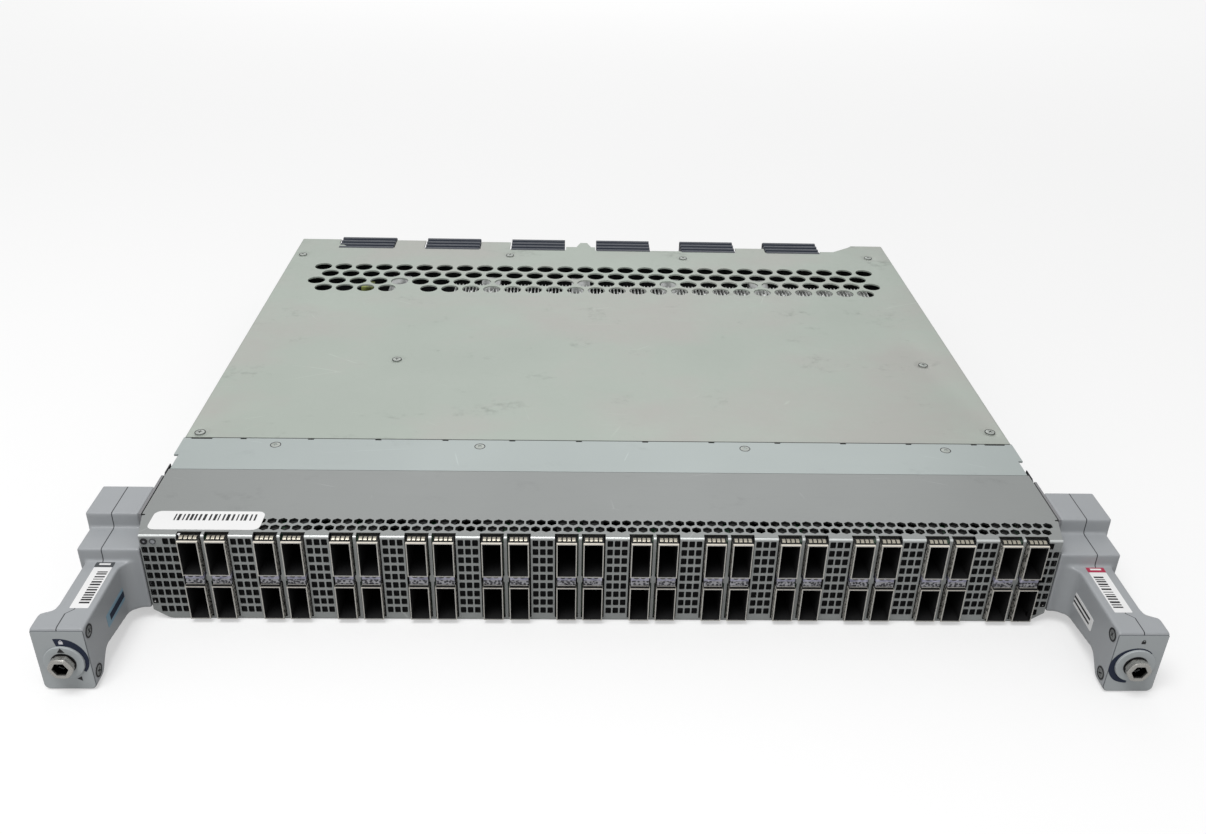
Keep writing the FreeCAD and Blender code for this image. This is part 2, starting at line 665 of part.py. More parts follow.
def side_spring(name, side):
    """A strip bent into a narrow V that grounds the card against its chassis."""
    body = new_body(name)
    nose = "rail_rear + seam_gap"
    seat = f"{side} * (card_width / 2 - strip_notch + seam_gap)"
    outer = f"{side} * card_width / 2"
    shape = outline(body, "XY_Plane", [
        (f"{side} * (card_width / 2 - 2 * spring_thick)", nose), (outer, f"{nose} + spring_leg / 4"),
        (outer, f"{nose} + spring_leg * 0.7"),
        (f"{outer} - {side} * spring_thick", f"{nose} + spring_leg * 0.7"),
        (f"{outer} - {side} * spring_thick", f"{nose} + spring_leg / 4"),
        (f"{outer} - {side} * 2.4 * spring_thick", f"{nose} + 2 * spring_thick"),
        (f"{seat} + {side} * spring_thick", f"{nose} + spring_leg / 4"),
        (f"{seat} + {side} * spring_thick", f"{nose} + spring_leg"),
        (seat, f"{nose} + spring_leg"), (seat, f"{nose} + spring_leg / 4")],
        "card_height - spring_tall")
    pad(body, shape, "spring_tall - bezel_sheet - slide_gap")
    return finish(body, name)


# --------------------------------------------------------------------------------------- ports

def group_middle(number):
    return f"(field_shift + ({number} - (group_count - 1) / 2) * group_pitch)"


def cage(name, x, z):
    """One transceiver cage: a rectangular sheet tube, open at both ends."""
    wide = "port_wide / 2"
    tall = "port_tall / 2"
    shell = block(f"{name}_shell", f"{x} - {wide} - cage_sheet", f"{x} + {wide} + cage_sheet",
                  "-cage_proud", "cage_rear",
                  f"{z} - {tall} - cage_sheet", f"{z} + {tall} + cage_sheet")
    bore = block(f"{name}_bore", f"{x} - {wide}", f"{x} + {wide}", "-cage_proud - 1", "cage_rear + 1",
                 f"{z} - {tall}", f"{z} + {tall}")
    cut = doc.addObject("Part::Cut", name)
    cut.Base = shell
    cut.Tool = bore
    return cut


def port_group(number):
    """Four cages, and the riser board between them with the four connectors behind the cages."""
    middle = group_middle(number)
    label = f"{number + 1:02d}"
    half = "column_pitch / 2"
    cages = []
    sockets = []
    for column in ("-1", "1"):
        for level, height in (("lower", "lower_port"), ("upper", "upper_port")):
            x = f"({middle} + {column} * {half})"
            tag = f"{label}_{level}_{'left' if column == '-1' else 'right'}"
            cages.append(cage(f"cage_{tag}", x, height))
            inner = f"({middle} + {column} * board_thick / 2)"
            outer = f"({x} + {column} * (port_wide / 2 + cage_sheet))"
            ends = (inner, outer) if column == "1" else (outer, inner)
            sockets.append(block(f"socket_{tag}", *ends, "cage_rear + seam_gap",
                                 "cage_rear + seam_gap + socket_deep",
                                 f"{height} - port_tall / 2 + 1", f"{height} + port_tall / 2 - 1"))
    finish(together(f"port_cages_{label}", cages), f"port_cages_{label}")

    board_top = "tray_sheet + board_seat + board_thick"
    body = new_body(f"riser_board_{label}")
    shape = outline(body, "YZ_Plane", [
        ("riser_front", "riser_foot"), ("board_front - seam_gap", "riser_foot"),
        ("board_front - seam_gap", board_top), ("riser_rear", board_top), ("riser_rear", "riser_top"),
        ("riser_front", "riser_top")], middle)
    pad(body, shape, "board_thick", middle=True)
    finish(joined(f"port_riser_{label}", [body] + sockets), f"port_riser_{label}")


def light_pipes():
    """A clear bar between the upper and lower cage of every column, from lamp to faceplate."""
    low = "lower_port + port_tall / 2 + cage_sheet + lens_gap"
    high = "upper_port - port_tall / 2 - cage_sheet - lens_gap"
    bars = []
    for number in range(size["group_count"]):
        for column in ("-1", "1"):
            x = f"({group_middle(number)} + {column} * column_pitch / 2)"
            bars.append(block(f"light_pipe_{len(bars) + 1}", f"{x} - port_wide / 2", f"{x} + port_wide / 2",
                              "-lens_proud", "lens_rear", low, high))
    return finish(together("light_pipes", bars), "light_pipes")


# -------------------------------------------------------------------------- boards and components

def main_board():
    body = new_body("main_board")
    edge = "(card_width / 2 - board_inset)"
    plate = rectangle(body, "XY_Plane", f"-{edge}", "board_front", edge, BOARD_REAR,
                      "tray_sheet + board_seat")
    pad(body, plate, "board_thick")
    return finish(body, "main_board")


def board_standoffs():
    posts = []
    for across in ("-1", "0", "1"):
        for along in ("0", "1", "2"):
            posts.append(prism(
                f"standoff_{len(posts) + 1}", f"{across} * (card_width / 2 - board_inset - 14)",
                f"board_front + 30 + {along} * ({BOARD_REAR} - board_front - 50) / 2",
                "tray_sheet", "standoff_across / 2", "board_seat", 6))
    return finish(together("board_standoffs", posts), "board_standoffs")


BOARD_TOP = "(tray_sheet + board_seat + board_thick)"


def switch_chip(name, side):
    """A square package on the main board, under the middle of a heat sink."""
    body = new_body(name)
    middle = f"(sink_shift + {side} * sink_spread / 2)"
    centre = f"((sink_front + {SINK_REAR}) / 2)"
    package = rectangle(body, "XY_Plane", f"{middle} - chip_wide / 2", f"{centre} - chip_wide / 2",
                        f"{middle} + chip_wide / 2", f"{centre} + chip_wide / 2", BOARD_TOP)
    pad(body, package, "chip_thick")
    return finish(body, name)


def heat_sink(name, side):
    """A base plate with upright fins that run front to back."""
    body = new_body(name)
    middle = f"(sink_shift + {side} * sink_spread / 2)"
    low = f"{BOARD_TOP} + chip_thick"
    base = rectangle(body, "XZ_Plane", f"{middle} - sink_wide / 2", low, f"{middle} + sink_wide / 2",
                     f"{low} + sink_base", "-sink_front")
    pad(body, base, f"{SINK_REAR} - sink_front", back=True)
    fin = rectangle(body, "XZ_Plane", f"{middle} - sink_wide / 2", f"{low} + sink_base / 2",
                    f"{middle} - sink_wide / 2 + fin_thick", "sink_top", "-sink_front")
    first = pad(body, fin, f"{SINK_REAR} - sink_front", back=True)
    grid(body, first, fin, "(sink_wide - fin_thick) / (fin_count - 1)", "fin_count")
    return finish(body, name)


def power_bricks():
    bricks = []
    for number in range(size["brick_count"]):
        x = f"(({number} - (brick_count - 1) / 2) * brick_pitch)"
        bricks.append(block(f"power_brick_{number + 1}", f"{x} - brick_wide / 2", f"{x} + brick_wide / 2",
                            "brick_front", "brick_front + brick_deep",
                            BOARD_TOP, f"{BOARD_TOP} + brick_tall"))
    return finish(together("power_bricks", bricks), "power_bricks")


def guide_blocks():
    """Guide sockets between the backplane connectors, set forward on the board."""
    blocks = []
    for number in range(size["plug_count"] - 1):
        x = f"(plug_shift + ({number} - (plug_count - 2) / 2) * plug_pitch)"
        blocks.append(block(f"guide_block_{number + 1}", f"{x} - guide_wide / 2", f"{x} + guide_wide / 2",
                            f"{GUIDE_REAR} - guide_deep", GUIDE_REAR, BOARD_TOP, "guide_top"))
    return finish(together("guide_blocks", blocks), "guide_blocks")


def backplane_connector(number):
    """A tall moulded housing, grooved along its top, with contact chambers in its rear face."""
    name = f"backplane_connector_{number + 1}"
    body = new_body(name)
    middle = plug_middle(number)
    top = "(card_height - cover_sheet - plug_drop)"
    left = f"({middle} - plug_wide / 2)"
    front = "card_depth - plug_inset"
    profile = outline(body, "YZ_Plane", [
        (front, BOARD_TOP), (BOARD_REAR, BOARD_TOP), (BOARD_REAR, f"{BOARD_TOP} - board_thick"),
        (PLUG_REAR, f"{BOARD_TOP} - board_thick"), (PLUG_REAR, top), (front, top)], middle)
    pad(body, profile, "plug_wide", middle=True)
    notch = "(card_depth - notch_deep)"
    pitch = f"(({PLUG_REAR} - {notch}) / 4)"
    groove = rectangle(body, "YZ_Plane", f"{notch} + {pitch} * 0.6", f"{top} - plug_groove",
                       f"{notch} + {pitch}", f"{top} + 1", middle)
    cut = pocket(body, groove, "plug_wide + 1", middle=True)
    grid(body, cut, groove, pitch, "3")
    chamber_pitch = "(plug_wide / 6)"
    chamber = rectangle(body, "XZ_Plane", f"{left} + {chamber_pitch} - plug_slot / 2", f"{BOARD_TOP} + 3",
                        f"{left} + {chamber_pitch} + plug_slot / 2", f"{top} - 4", f"-{PLUG_REAR}")
    cut = pocket(body, chamber, "plug_slot * 2", back=True)
    grid(body, cut, chamber, chamber_pitch, "5")
    return finish(body, name)


# -------------------------------------------------------------------------------------- handles

def handle_half(name, side, inner):
    """One moulded half of a handle.

    The plan outline of the whole handle is thickened to its full height, the space above the
    steps and below the arm is cut away, the edges are rounded, and the seam plane then parts it.
    """
    body = new_body(name)

    def out(text):
        """A distance out from the card's side, on this side of the card."""
        return f"{side} * (card_width / 2 + {text})"

    seat = "handle_gap"
    arm_out = "arm_inner + arm_wide"
    plan = outline(body, "XY_Plane", [
        (out("arm_inner"), "0"), (out("-cheek_reach"), "0"), (out("-cheek_reach"), "cheek_deep"),
        (out(seat), "cheek_deep"), (out(seat), "rear_block_rear"),
        (out("rear_block_reach"), "rear_block_rear"), (out("rear_block_reach"), "rear_block_front"),
        (out("front_block_reach"), "rear_block_front"), (out("front_block_reach"), "0"),
        (out(arm_out), "0"), (out(arm_out), "-arm_reach + head_round"),
        (out(f"{arm_out} + head_bulge"), "-arm_reach"),
        (out(f"{arm_out} + head_bulge"), "-arm_reach - head_deep"),
        (out("arm_inner"), "-arm_reach - head_deep")], "handle_foot")
    pad(body, plan, "card_height - handle_foot")

    sign = float(side)
    arm_side = sign * (size["card_width"] / 2 + size["arm_inner"])
    arm_far = arm_side + sign * size["arm_wide"]
    head_far = arm_far + sign * size["head_bulge"]
    head_front = -size["arm_reach"] - size["head_deep"]
    soften(body, "web_round", upright_edge(arm_side, 0))
    soften(body, "head_round * 0.9", upright_edge(arm_far, -size["arm_reach"] + size["head_round"]))
    soften(body, "head_round * 0.7", upright_edge(head_far, -size["arm_reach"]))

    front = "-arm_reach - head_deep - 1"
    rear = "rear_block_rear + 1"
    sky = outline(body, "YZ_Plane", [
        (front, "arm_top"), ("0", "arm_top"), ("0", "front_block_top"),
        ("rear_block_front", "front_block_top"), ("rear_block_front", "card_height + 1"),
        (front, "card_height + 1")])
    pocket(body, sky, "2 * card_width", middle=True)
    under = outline(body, "YZ_Plane", [
        ("-arm_reach - head_round", "handle_foot"), ("-arm_reach + 2 * head_round", "arm_waist"),
        ("foot_start", "block_foot"), (rear, "block_foot"), (rear, "-1"),
        ("-arm_reach - head_round", "-1")])
    pocket(body, under, "2 * card_width", middle=True)

    head_back = -size["arm_reach"] + 2 * size["head_round"]
    soften(body, "2 * head_round", cross_edge(head_back, size["arm_waist"]))

    foot, top, soft = size["handle_foot"], size["arm_top"], size["edge_round"]
    ease(body, "XZ_Plane", (arm_side, foot), (sign, 1), size["head_round"], head_front - 1, head_back)
    ease(body, "XZ_Plane", (head_far, foot), (-sign, 1), size["head_round"], head_front - 1, head_back)
    ease(body, "XZ_Plane", (arm_side, top), (sign, -1), soft, head_front - 1, -size["web_round"])
    ease(body, "XZ_Plane", (head_far, top), (-sign, -1), soft, head_front - 1, head_back)
    ease(body, "XZ_Plane", (arm_far, top), (-sign, -1), soft, head_back, 0)
    ease(body, "YZ_Plane", (head_front, top), (1, -1), soft, *sorted((arm_side - sign, head_far + sign)))

    bore = circle(body, "XZ_Plane", out("spindle_out"), "spindle_height", "shaft_radius + shaft_fit")
    pocket(body, bore, "4 * rear_block_rear", middle=True)
    if inner:
        recess_side = f"{side} * (card_width / 2 + arm_inner)"
        for height in ("clamp_upper", "clamp_lower"):
            recess = circle(body, "YZ_Plane", "-arm_reach - head_deep + clamp_back", height,
                            "clamp_head + slide_gap", recess_side)
            pocket(body, recess, "clamp_recess", back=sign > 0)

    # the seam: straight along the arm and the blocks, stepped outwards in the head
    seam = [
        (out("arm_inner + seam_inset"), rear), (out("arm_inner + seam_inset"), "-arm_reach + head_round"),
        (out("arm_inner + head_seam"), "-arm_reach"), (out("arm_inner + head_seam"), front)]
    far = "2 * rear_block_reach" if inner else "-2 * cheek_reach"
    parting = outline(body, "XY_Plane", seam + [(out(far), front), (out(far), rear)], "-1")
    pocket(body, parting, "card_height + 2", back=True)
    return finish(body, name)


def spindle(name, side):
    """A turned spindle: a drive end with a hex socket, a collar, and a shaft through the handle."""
    body = new_body(name)
    head_front = "-arm_reach - head_deep"
    tip = f"{head_front} - spindle_proud"
    dial_front = f"{head_front} - turning_gap - dial_thick"
    flange_front = f"{dial_front} - barrel_flange"
    profile = outline(body, "XY_Plane", [
        ("0", tip), ("barrel_radius - 0.6", tip), ("barrel_radius", f"{tip} + 0.6"),
        ("barrel_radius", flange_front), ("barrel_radius + 1", flange_front),
        ("barrel_radius + 1", dial_front), ("shaft_radius", dial_front),
        ("shaft_radius", "rear_block_rear + turning_gap + cam_thick"),
        ("0", "rear_block_rear + turning_gap + cam_thick")])
    turned = body.newObject("PartDesign::Revolution", "turned")
    turned.Profile = profile
    turned.ReferenceAxis = (profile, ["V_Axis"])
    turned.Angle = 360
    turned.Refine = False
    socket = hexagon(body, "XZ_Plane", "0", "0", "socket_across", f"-({tip})")
    pocket(body, socket, "socket_depth", back=False)
    return finish(body, name, x=f"{side} * (card_width / 2 + spindle_out)", z="spindle_height")


def dial(name, side):
    """A thin disc on the spindle, in front of the handle's head."""
    body = new_body(name)
    rim = polygon((0, 0), 2 * size["dial_radius"], 24, 0)
    bore = polygon((0, 0), 2 * size["shaft_radius"], 12, 0)
    pad(body, punched(body, "XZ_Plane", rim, [bore], "arm_reach + head_deep + turning_gap"), "dial_thick")
    return finish(body, name, x=f"{side} * (card_width / 2 + spindle_out)", z="spindle_height")


def lock_cam(name, side):
    """A hub with one nose that points up, keyed to the rear end of the spindle."""
    body = new_body(name)
    hub, reach, tip = size["cam_radius"], size["cam_reach"], size["shaft_radius"]
    rim = [(tip, reach), (-tip, reach)]
    for step in range(13):
        angle = math.radians(155 + 230 * step / 12)
        rim.append((hub * math.cos(angle), hub * math.sin(angle)))
    bore = polygon((0, 0), 2 * size["shaft_radius"], 12, 0)
    shape = punched(body, "XZ_Plane", rim, [bore], "-(rear_block_rear + turning_gap)")
    pad(body, shape, "cam_thick", back=True)
    return finish(body, name, x=f"{side} * (card_width / 2 + spindle_out)", z="spindle_height")


# ------------------------------------------------------------------------- fasteners and lamps

SCREW_PLACES = [
    ("-170.7", "strip_rear - 6.6"), ("-64.4", "strip_rear - 6.6"),
    ("75.2", "strip_rear - 6.6"), ("182.2", "strip_rear - 6.6"),
    ("-card_width / 2 + 6.7", "strip_rear + 5.8"), ("card_width / 2 - 7.5", "strip_rear + 13.4"),
    ("-121.7", "strip_rear + 94.8"), ("card_width / 2 - 22.5", "strip_rear + 94.3"),
    ("-card_width / 2 + 6.6", "card_depth - 31.4"), ("card_width / 2 - 15.9", "card_depth - 24"),
    ("-62.7", "card_depth - 27.8"), ("65.1", "card_depth - 29.1")]


def cover_screws():
    """The screws of the cross strip and of the rear cover."""
    heads = []
    for x, y in SCREW_PLACES:
        heads.append(prism(f"cover_screw_{len(heads) + 1}", x, y, "card_height", "screw_head",
                           "screw_rise", 8))
    return finish(together("cover_screws", heads), "cover_screws")


def handle_screws():
    """Screws in the recesses on the inner side of both heads."""
    heads = []
    for side in ("-1", "1"):
        turn = FreeCAD.Rotation(FreeCAD.Vector(0, 1, 0), 90 * float(side))
        for height in ("clamp_upper", "clamp_lower"):
            heads.append(prism(f"handle_screw_{len(heads) + 1}",
                               f"{side} * (card_width / 2 + arm_inner + clamp_recess - 1)",
                               "-arm_reach - head_deep + clamp_back", height, "clamp_head", "1", 8, turn))
    return finish(together("handle_screws", heads), "handle_screws")


def status_lamps():
    lamps = []
    turn = FreeCAD.Rotation(FreeCAD.Vector(1, 0, 0), -90)
    for number in range(2):
        lamps.append(prism(f"status_lamp_{number + 1}", f"lamp_inset - {BEZEL_HALF} + {number} * lamp_pitch",
                           "-lamp_proud", "top_row", "lamp_radius", "lamp_proud + lamp_deep", 8, turn))
    return finish(together("status_lamps", lamps), "status_lamps")


# ------------------------------------------------------------------------------------- the card

bottom_tray()
front_bezel()
cross_strip()
top_cover()
main_board()
board_standoffs()
for group in range(size["group_count"]):
    port_group(group)
light_pipes()
power_bricks()
guide_blocks()
for plug in range(size["plug_count"]):
    backplane_connector(plug)
cover_screws()
status_lamps()
handle_screws()
for side_name, side_sign in (("left", "-1"), ("right", "1")):
    switch_chip(f"{side_name}_switch_chip", side_sign)
    heat_sink(f"{side_name}_heat_sink", side_sign)
    side_rail(f"{side_name}_rail", side_sign)
    side_spring(f"{side_name}_spring", side_sign)
    handle_half(f"{side_name}_handle_inner", side_sign, inner=True)
    handle_half(f"{side_name}_handle_outer", side_sign, inner=False)
    spindle(f"{side_name}_spindle", side_sign)
    dial(f"{side_name}_dial", side_sign)
    lock_cam(f"{side_name}_lock_cam", side_sign)

doc.recompute()

# ------------------------------------------------------------------------- checks and the export

for item in doc.Objects:
    if "Invalid" in item.State or "Error" in item.State:
        raise RuntimeError(f"{item.Name} ({item.Label}) failed: {item.State}")
for item in nodes:
    if item.Shape.isNull() or not item.Shape.isValid() or not item.Shape.Solids:
        raise RuntimeError(f"{item.Label} has no valid solid")

os.makedirs("parts", exist_ok=True)
for item in nodes:
    item.Shape.exportStep(f"parts/{item.Label}.step")
    box = item.Shape.BoundBox
    print(f"{item.Label:24s} solids {len(item.Shape.Solids):3d}  "
          f"x {box.XMin:8.2f} {box.XMax:8.2f}  y {box.YMin:8.2f} {box.YMax:8.2f}  "
          f"z {box.ZMin:6.2f} {box.ZMax:6.2f}")
print(len(nodes), "nodes")
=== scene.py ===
# %% [markdown]
# # A switch line card
# The card is a folded steel case with a faceplate full of transceiver cages, a moulded locking
# handle at each side and a row of connectors along its rear edge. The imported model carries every
# solid in its real place. This lesson dresses it: sheets that are too finely punched for the
# solids are drawn again as numpy surfaces, and every piece gets a finish made of nodes.

# %% Load the frame
import json
import math

import bmesh
import bpy
import numpy as np
from mathutils import Matrix, Vector
from mathutils.geometry import delaunay_2d_cdt


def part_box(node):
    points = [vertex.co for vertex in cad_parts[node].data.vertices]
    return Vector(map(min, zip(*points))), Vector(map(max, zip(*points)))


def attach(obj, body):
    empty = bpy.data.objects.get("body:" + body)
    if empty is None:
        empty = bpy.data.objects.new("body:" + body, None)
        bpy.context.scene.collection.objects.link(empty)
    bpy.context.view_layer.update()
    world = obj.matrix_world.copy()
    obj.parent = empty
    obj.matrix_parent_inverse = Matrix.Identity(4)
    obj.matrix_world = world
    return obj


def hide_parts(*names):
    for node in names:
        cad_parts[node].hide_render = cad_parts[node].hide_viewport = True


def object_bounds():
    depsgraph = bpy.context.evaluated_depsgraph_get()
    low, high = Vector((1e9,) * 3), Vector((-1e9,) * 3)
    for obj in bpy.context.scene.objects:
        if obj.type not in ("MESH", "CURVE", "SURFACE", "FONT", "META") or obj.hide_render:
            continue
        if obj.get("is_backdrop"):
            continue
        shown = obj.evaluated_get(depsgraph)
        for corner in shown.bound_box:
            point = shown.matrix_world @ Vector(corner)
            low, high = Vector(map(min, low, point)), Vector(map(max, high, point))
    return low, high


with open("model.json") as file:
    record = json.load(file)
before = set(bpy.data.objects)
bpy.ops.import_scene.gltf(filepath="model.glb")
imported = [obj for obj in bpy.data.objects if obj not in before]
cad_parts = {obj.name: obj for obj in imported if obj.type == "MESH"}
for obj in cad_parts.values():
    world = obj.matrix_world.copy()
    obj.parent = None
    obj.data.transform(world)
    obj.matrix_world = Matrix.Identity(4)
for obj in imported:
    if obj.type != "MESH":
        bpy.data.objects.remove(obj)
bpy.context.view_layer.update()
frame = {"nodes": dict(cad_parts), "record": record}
MM = 0.001

# %% [markdown]
# Sizes are read from the solids wherever they hold them, in millimetres, so that a drawn sheet
# lies exactly where its solid lies.


# %% Measure the solids
def edges_of(node):
    """Lowest and highest corner of a CAD node, in millimetres."""
    low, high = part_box(node)
    return np.array(low) / MM, np.array(high) / MM


bezel_low, bezel_high = edges_of("front_bezel")
cover_low, cover_high = edges_of("top_cover")
strip_high = edges_of("cross_strip")[1]
cage_boxes = [edges_of(f"port_cages_{number:02d}") for number in range(1, 13)]
plug_boxes = [edges_of(f"backplane_connector_{number}") for number in range(1, 7)]

FACE = bezel_low[1]
TOP = bezel_high[2]
CARD_HALF = cover_high[0]
BEZEL_HALF = CARD_HALF - 5.4
COLUMN_PITCH = 12.49
CAGE_WIDE = cage_boxes[0][1][0] - cage_boxes[0][0][0] - COLUMN_PITCH
group_middles = np.array([(low[0] + high[0]) / 2 for low, high in cage_boxes])
GROUP_PITCH = group_middles[1] - group_middles[0]
cage_front = cage_boxes[0][0][1]
column_middles = (group_middles[:, None] + np.array([-0.5, 0.5]) * COLUMN_PITCH).ravel()
print(f"faceplate at y {FACE:.1f} mm, top {TOP:.1f} mm, cages {CAGE_WIDE:.2f} mm wide")

# %% [markdown]
# ## Pieces
# A piece is an array of points and a list of faces. Everything is worked out in millimetres and
# scaled once, when the mesh is made, so its object stays at the origin like the solids' objects.


# %% Make a piece
pieces_made = []


def make_piece(name, points, faces, body, slot, material, smooth=None):
    """Points (n, 3) in millimetres and faces as lists of point numbers become one object.

    smooth is the angle in degrees under which neighbouring faces are shaded as one surface.
    """
    mesh = bpy.data.meshes.new(name)
    mesh.from_pydata((np.asarray(points, float) * MM).tolist(), [], faces)
    mesh.validate()
    if smooth:
        mesh.polygons.foreach_set("use_smooth", np.ones(len(mesh.polygons), bool))
        mesh.set_sharp_from_angle(angle=math.radians(smooth))
    mesh.materials.append(material)
    thing = bpy.data.objects.new(name, mesh)
    bpy.context.scene.collection.objects.link(thing)
    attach(thing, body)
    pieces_made.append(thing)
    print(f"{name}: {len(mesh.vertices)} points, {len(mesh.polygons)} faces")
    return thing


def gather(parts):
    """Several (points, faces) pairs as one pair: each part's faces are shifted past the points before it."""
    shifts = np.cumsum([0] + [len(points) for points, faces in parts[:-1]])
    points = np.concatenate([points for points, faces in parts])
    faces = [[corner + int(shift) for corner in face]
             for shift, (_, faces) in zip(shifts, parts) for face in faces]
    return points, faces


# %% [markdown]
# ## Finishes
# Each finish is a small tree of nodes on object coordinates: a base colour varied by soft
# blotches, a grain that sets roughness and bump, and marks of handling where the real metal or
# plastic shows them. Some finishes also carry painted highlight and painted shade. One helper
# places nodes, and one builds the part that all finishes share.


# %% Node helpers
def add_node(tree, kind, settings=None, **inputs):
    """A node of the given kind; inputs are values or sockets of other nodes, by input name."""
    node = tree.nodes.new("ShaderNode" + kind)
    for name, value in (settings or {}).items():
        setattr(node, name, value)
    for name, value in inputs.items():
        socket = node.inputs[int(name[1:])] if name[0] == "_" else node.inputs[name.replace("_", " ")]
        if isinstance(value, bpy.types.NodeSocket):
            tree.links.new(value, socket)
        else:
            socket.default_value = value
    return node


def math_node(tree, operation, first, second=0.0):
    return add_node(tree, "Math", {"operation": operation}, _0=first, _1=second).outputs[0]


def between(tree, value, low, high, out_low=0.0, out_high=1.0):
    """value carried linearly from low..high to out_low..out_high and held at the ends."""
    return add_node(tree, "MapRange", {"clamp": True}, Value=value, From_Min=low, From_Max=high,
                    To_Min=out_low, To_Max=out_high).outputs[0]


def noise(tree, place, scale, detail=2.0, stretch=(1, 1, 1), roughness=0.5):
    """Noise from 0 to 1; stretch multiplies the coordinates, so a small number makes long streaks."""
    mapped = add_node(tree, "Mapping", Vector=place, Scale=stretch).outputs[0]
    return add_node(tree, "TexNoise", Vector=mapped, Scale=scale, Detail=detail,
                    Roughness=roughness).outputs["Fac"]


def mixed(tree, share, first, second):
    """first where share is 0, second where it is 1; both are colours."""
    mix = add_node(tree, "Mix", {"data_type": "RGBA"}, Factor=share)
    for socket, value in ((mix.inputs[6], first), (mix.inputs[7], second)):
        if isinstance(value, bpy.types.NodeSocket):
            tree.links.new(value, socket)
        else:
            socket.default_value = (*value, 1.0)
    return mix.outputs[2]


def start_finish(name, metallic=0.0, specular=0.5):
    """An empty finish: its material, tree, shader and the object coordinates."""
    material = bpy.data.materials.new(name)
    material.use_nodes = True
    tree = material.node_tree
    shader = tree.nodes["Principled BSDF"]
    shader.inputs["Metallic"].default_value = metallic
    shader.inputs["Specular IOR Level"].default_value = specular
    place = tree.nodes.new("ShaderNodeTexCoord").outputs["Object"]
    return material, tree, shader, place


def set_bump(tree, shader, height, distance, strength=1.0):
    """Raise the surface by height (0 to 1) times distance in metres."""
    bump = add_node(tree, "Bump", Height=height, Distance=distance, Strength=strength)
    tree.links.new(bump.outputs[0], shader.inputs["Normal"])


def shades(tree, place, base, spread, scale, detail=3.0):
    """The base colour made darker and lighter by spread in soft blotches."""
    dark = tuple(channel * (1 - spread) for channel in base)
    light = tuple(min(1.0, channel * (1 + spread)) for channel in base)
    return mixed(tree, between(tree, noise(tree, place, scale, detail), 0.3, 0.7), dark, light)


# %% [markdown]
# ### Sheet steel
# Rolled sheet has a fine grain that runs one way. Noise squeezed across the grain and drawn out
# along it gives the streaks; they lighten the colour a little, roughen the gloss and lift the
# surface by a few microns. Old sheet also carries grey smudges and thin bright scratches.


# %% Sheet steel
def inside(tree, value, low, high):
    """1 where a value lies between low and high, else 0."""
    return math_node(tree, "MULTIPLY", math_node(tree, "GREATER_THAN", value, low),
                     math_node(tree, "LESS_THAN", value, high))


def sheet_steel(name, colour, grain=(60, 2600, 2600), rough=0.38, metallic=0.55, smudge=0.0, scratch=0.0,
                spread=0.05, stain=None, bands=()):
    """Rolled sheet. stain is a second tint in wide patches. Each band is (y from, y to, z from, z to, share,
    colour): inside it the colour is mixed in by that share, for a painted highlight on a bend and
    painted shade on hole walls and seam edges."""
    material, tree, shader, place = start_finish(name, metallic)
    streaks = noise(tree, place, 1.0, 3.0, grain)
    paint = shades(tree, place, colour, spread, 9.0)
    if stain:
        patch = between(tree, noise(tree, place, 9.0, 4.0, (1, 1.4, 1), 0.6), 0.46, 0.66, 0.0, 0.9)
        paint = mixed(tree, patch, paint, stain)
    paint = mixed(tree, between(tree, streaks, 0.35, 0.65, 0.0, 0.10), paint,
                  tuple(min(1.0, channel * 1.25) for channel in colour))
    rough_now = between(tree, streaks, 0.3, 0.7, rough - 0.06, rough + 0.08)
    if smudge:
        cloud = noise(tree, place, 26.0, 5.0, (1, 1.6, 1), 0.62)
        fleck = noise(tree, place, 160.0, 3.0, (1, 1, 1), 0.7)
        grime = math_node(tree, "MULTIPLY", between(tree, cloud, 0.58, 0.76), between(tree, fleck, 0.45, 0.68))
        paint = mixed(tree, math_node(tree, "MULTIPLY", grime, smudge), paint,
                      tuple(channel * 0.40 for channel in colour))
        rough_now = math_node(tree, "ADD", rough_now, math_node(tree, "MULTIPLY", grime, 0.2))
    if scratch:
        bend = add_node(tree, "TexNoise", Vector=place, Scale=5.0, Detail=1.0).outputs["Color"]
        moved = add_node(tree, "Mix", {"data_type": "VECTOR"}, Factor=0.05)
        tree.links.new(place, moved.inputs[4])
        tree.links.new(bend, moved.inputs[5])
        cells = add_node(tree, "TexVoronoi", {"feature": "DISTANCE_TO_EDGE"},
                         Vector=add_node(tree, "Mapping", Vector=moved.outputs[1],
                                         Scale=(6, 15, 6)).outputs[0], Scale=2.2).outputs["Distance"]
        line = between(tree, cells, 0.0, 0.006, 1.0, 0.0)
        broken = math_node(tree, "MULTIPLY", line, between(tree, noise(tree, place, 34.0), 0.60, 0.66))
        paint = mixed(tree, math_node(tree, "MULTIPLY", broken, scratch), paint,
                      tuple(min(1.0, channel * 1.6) for channel in colour))
    axes = add_node(tree, "SeparateXYZ", Vector=place)
    for front, rear, low, high, share, tint in bands:
        where = math_node(tree, "MULTIPLY", inside(tree, axes.outputs["Y"], front * MM, rear * MM),
                          inside(tree, axes.outputs["Z"], low * MM, high * MM))
        paint = mixed(tree, math_node(tree, "MULTIPLY", where, share), paint, tint)
    tree.links.new(paint, shader.inputs["Base Color"])
    tree.links.new(rough_now, shader.inputs["Roughness"])
    set_bump(tree, shader, streaks, 0.00003, 0.5)
    return material
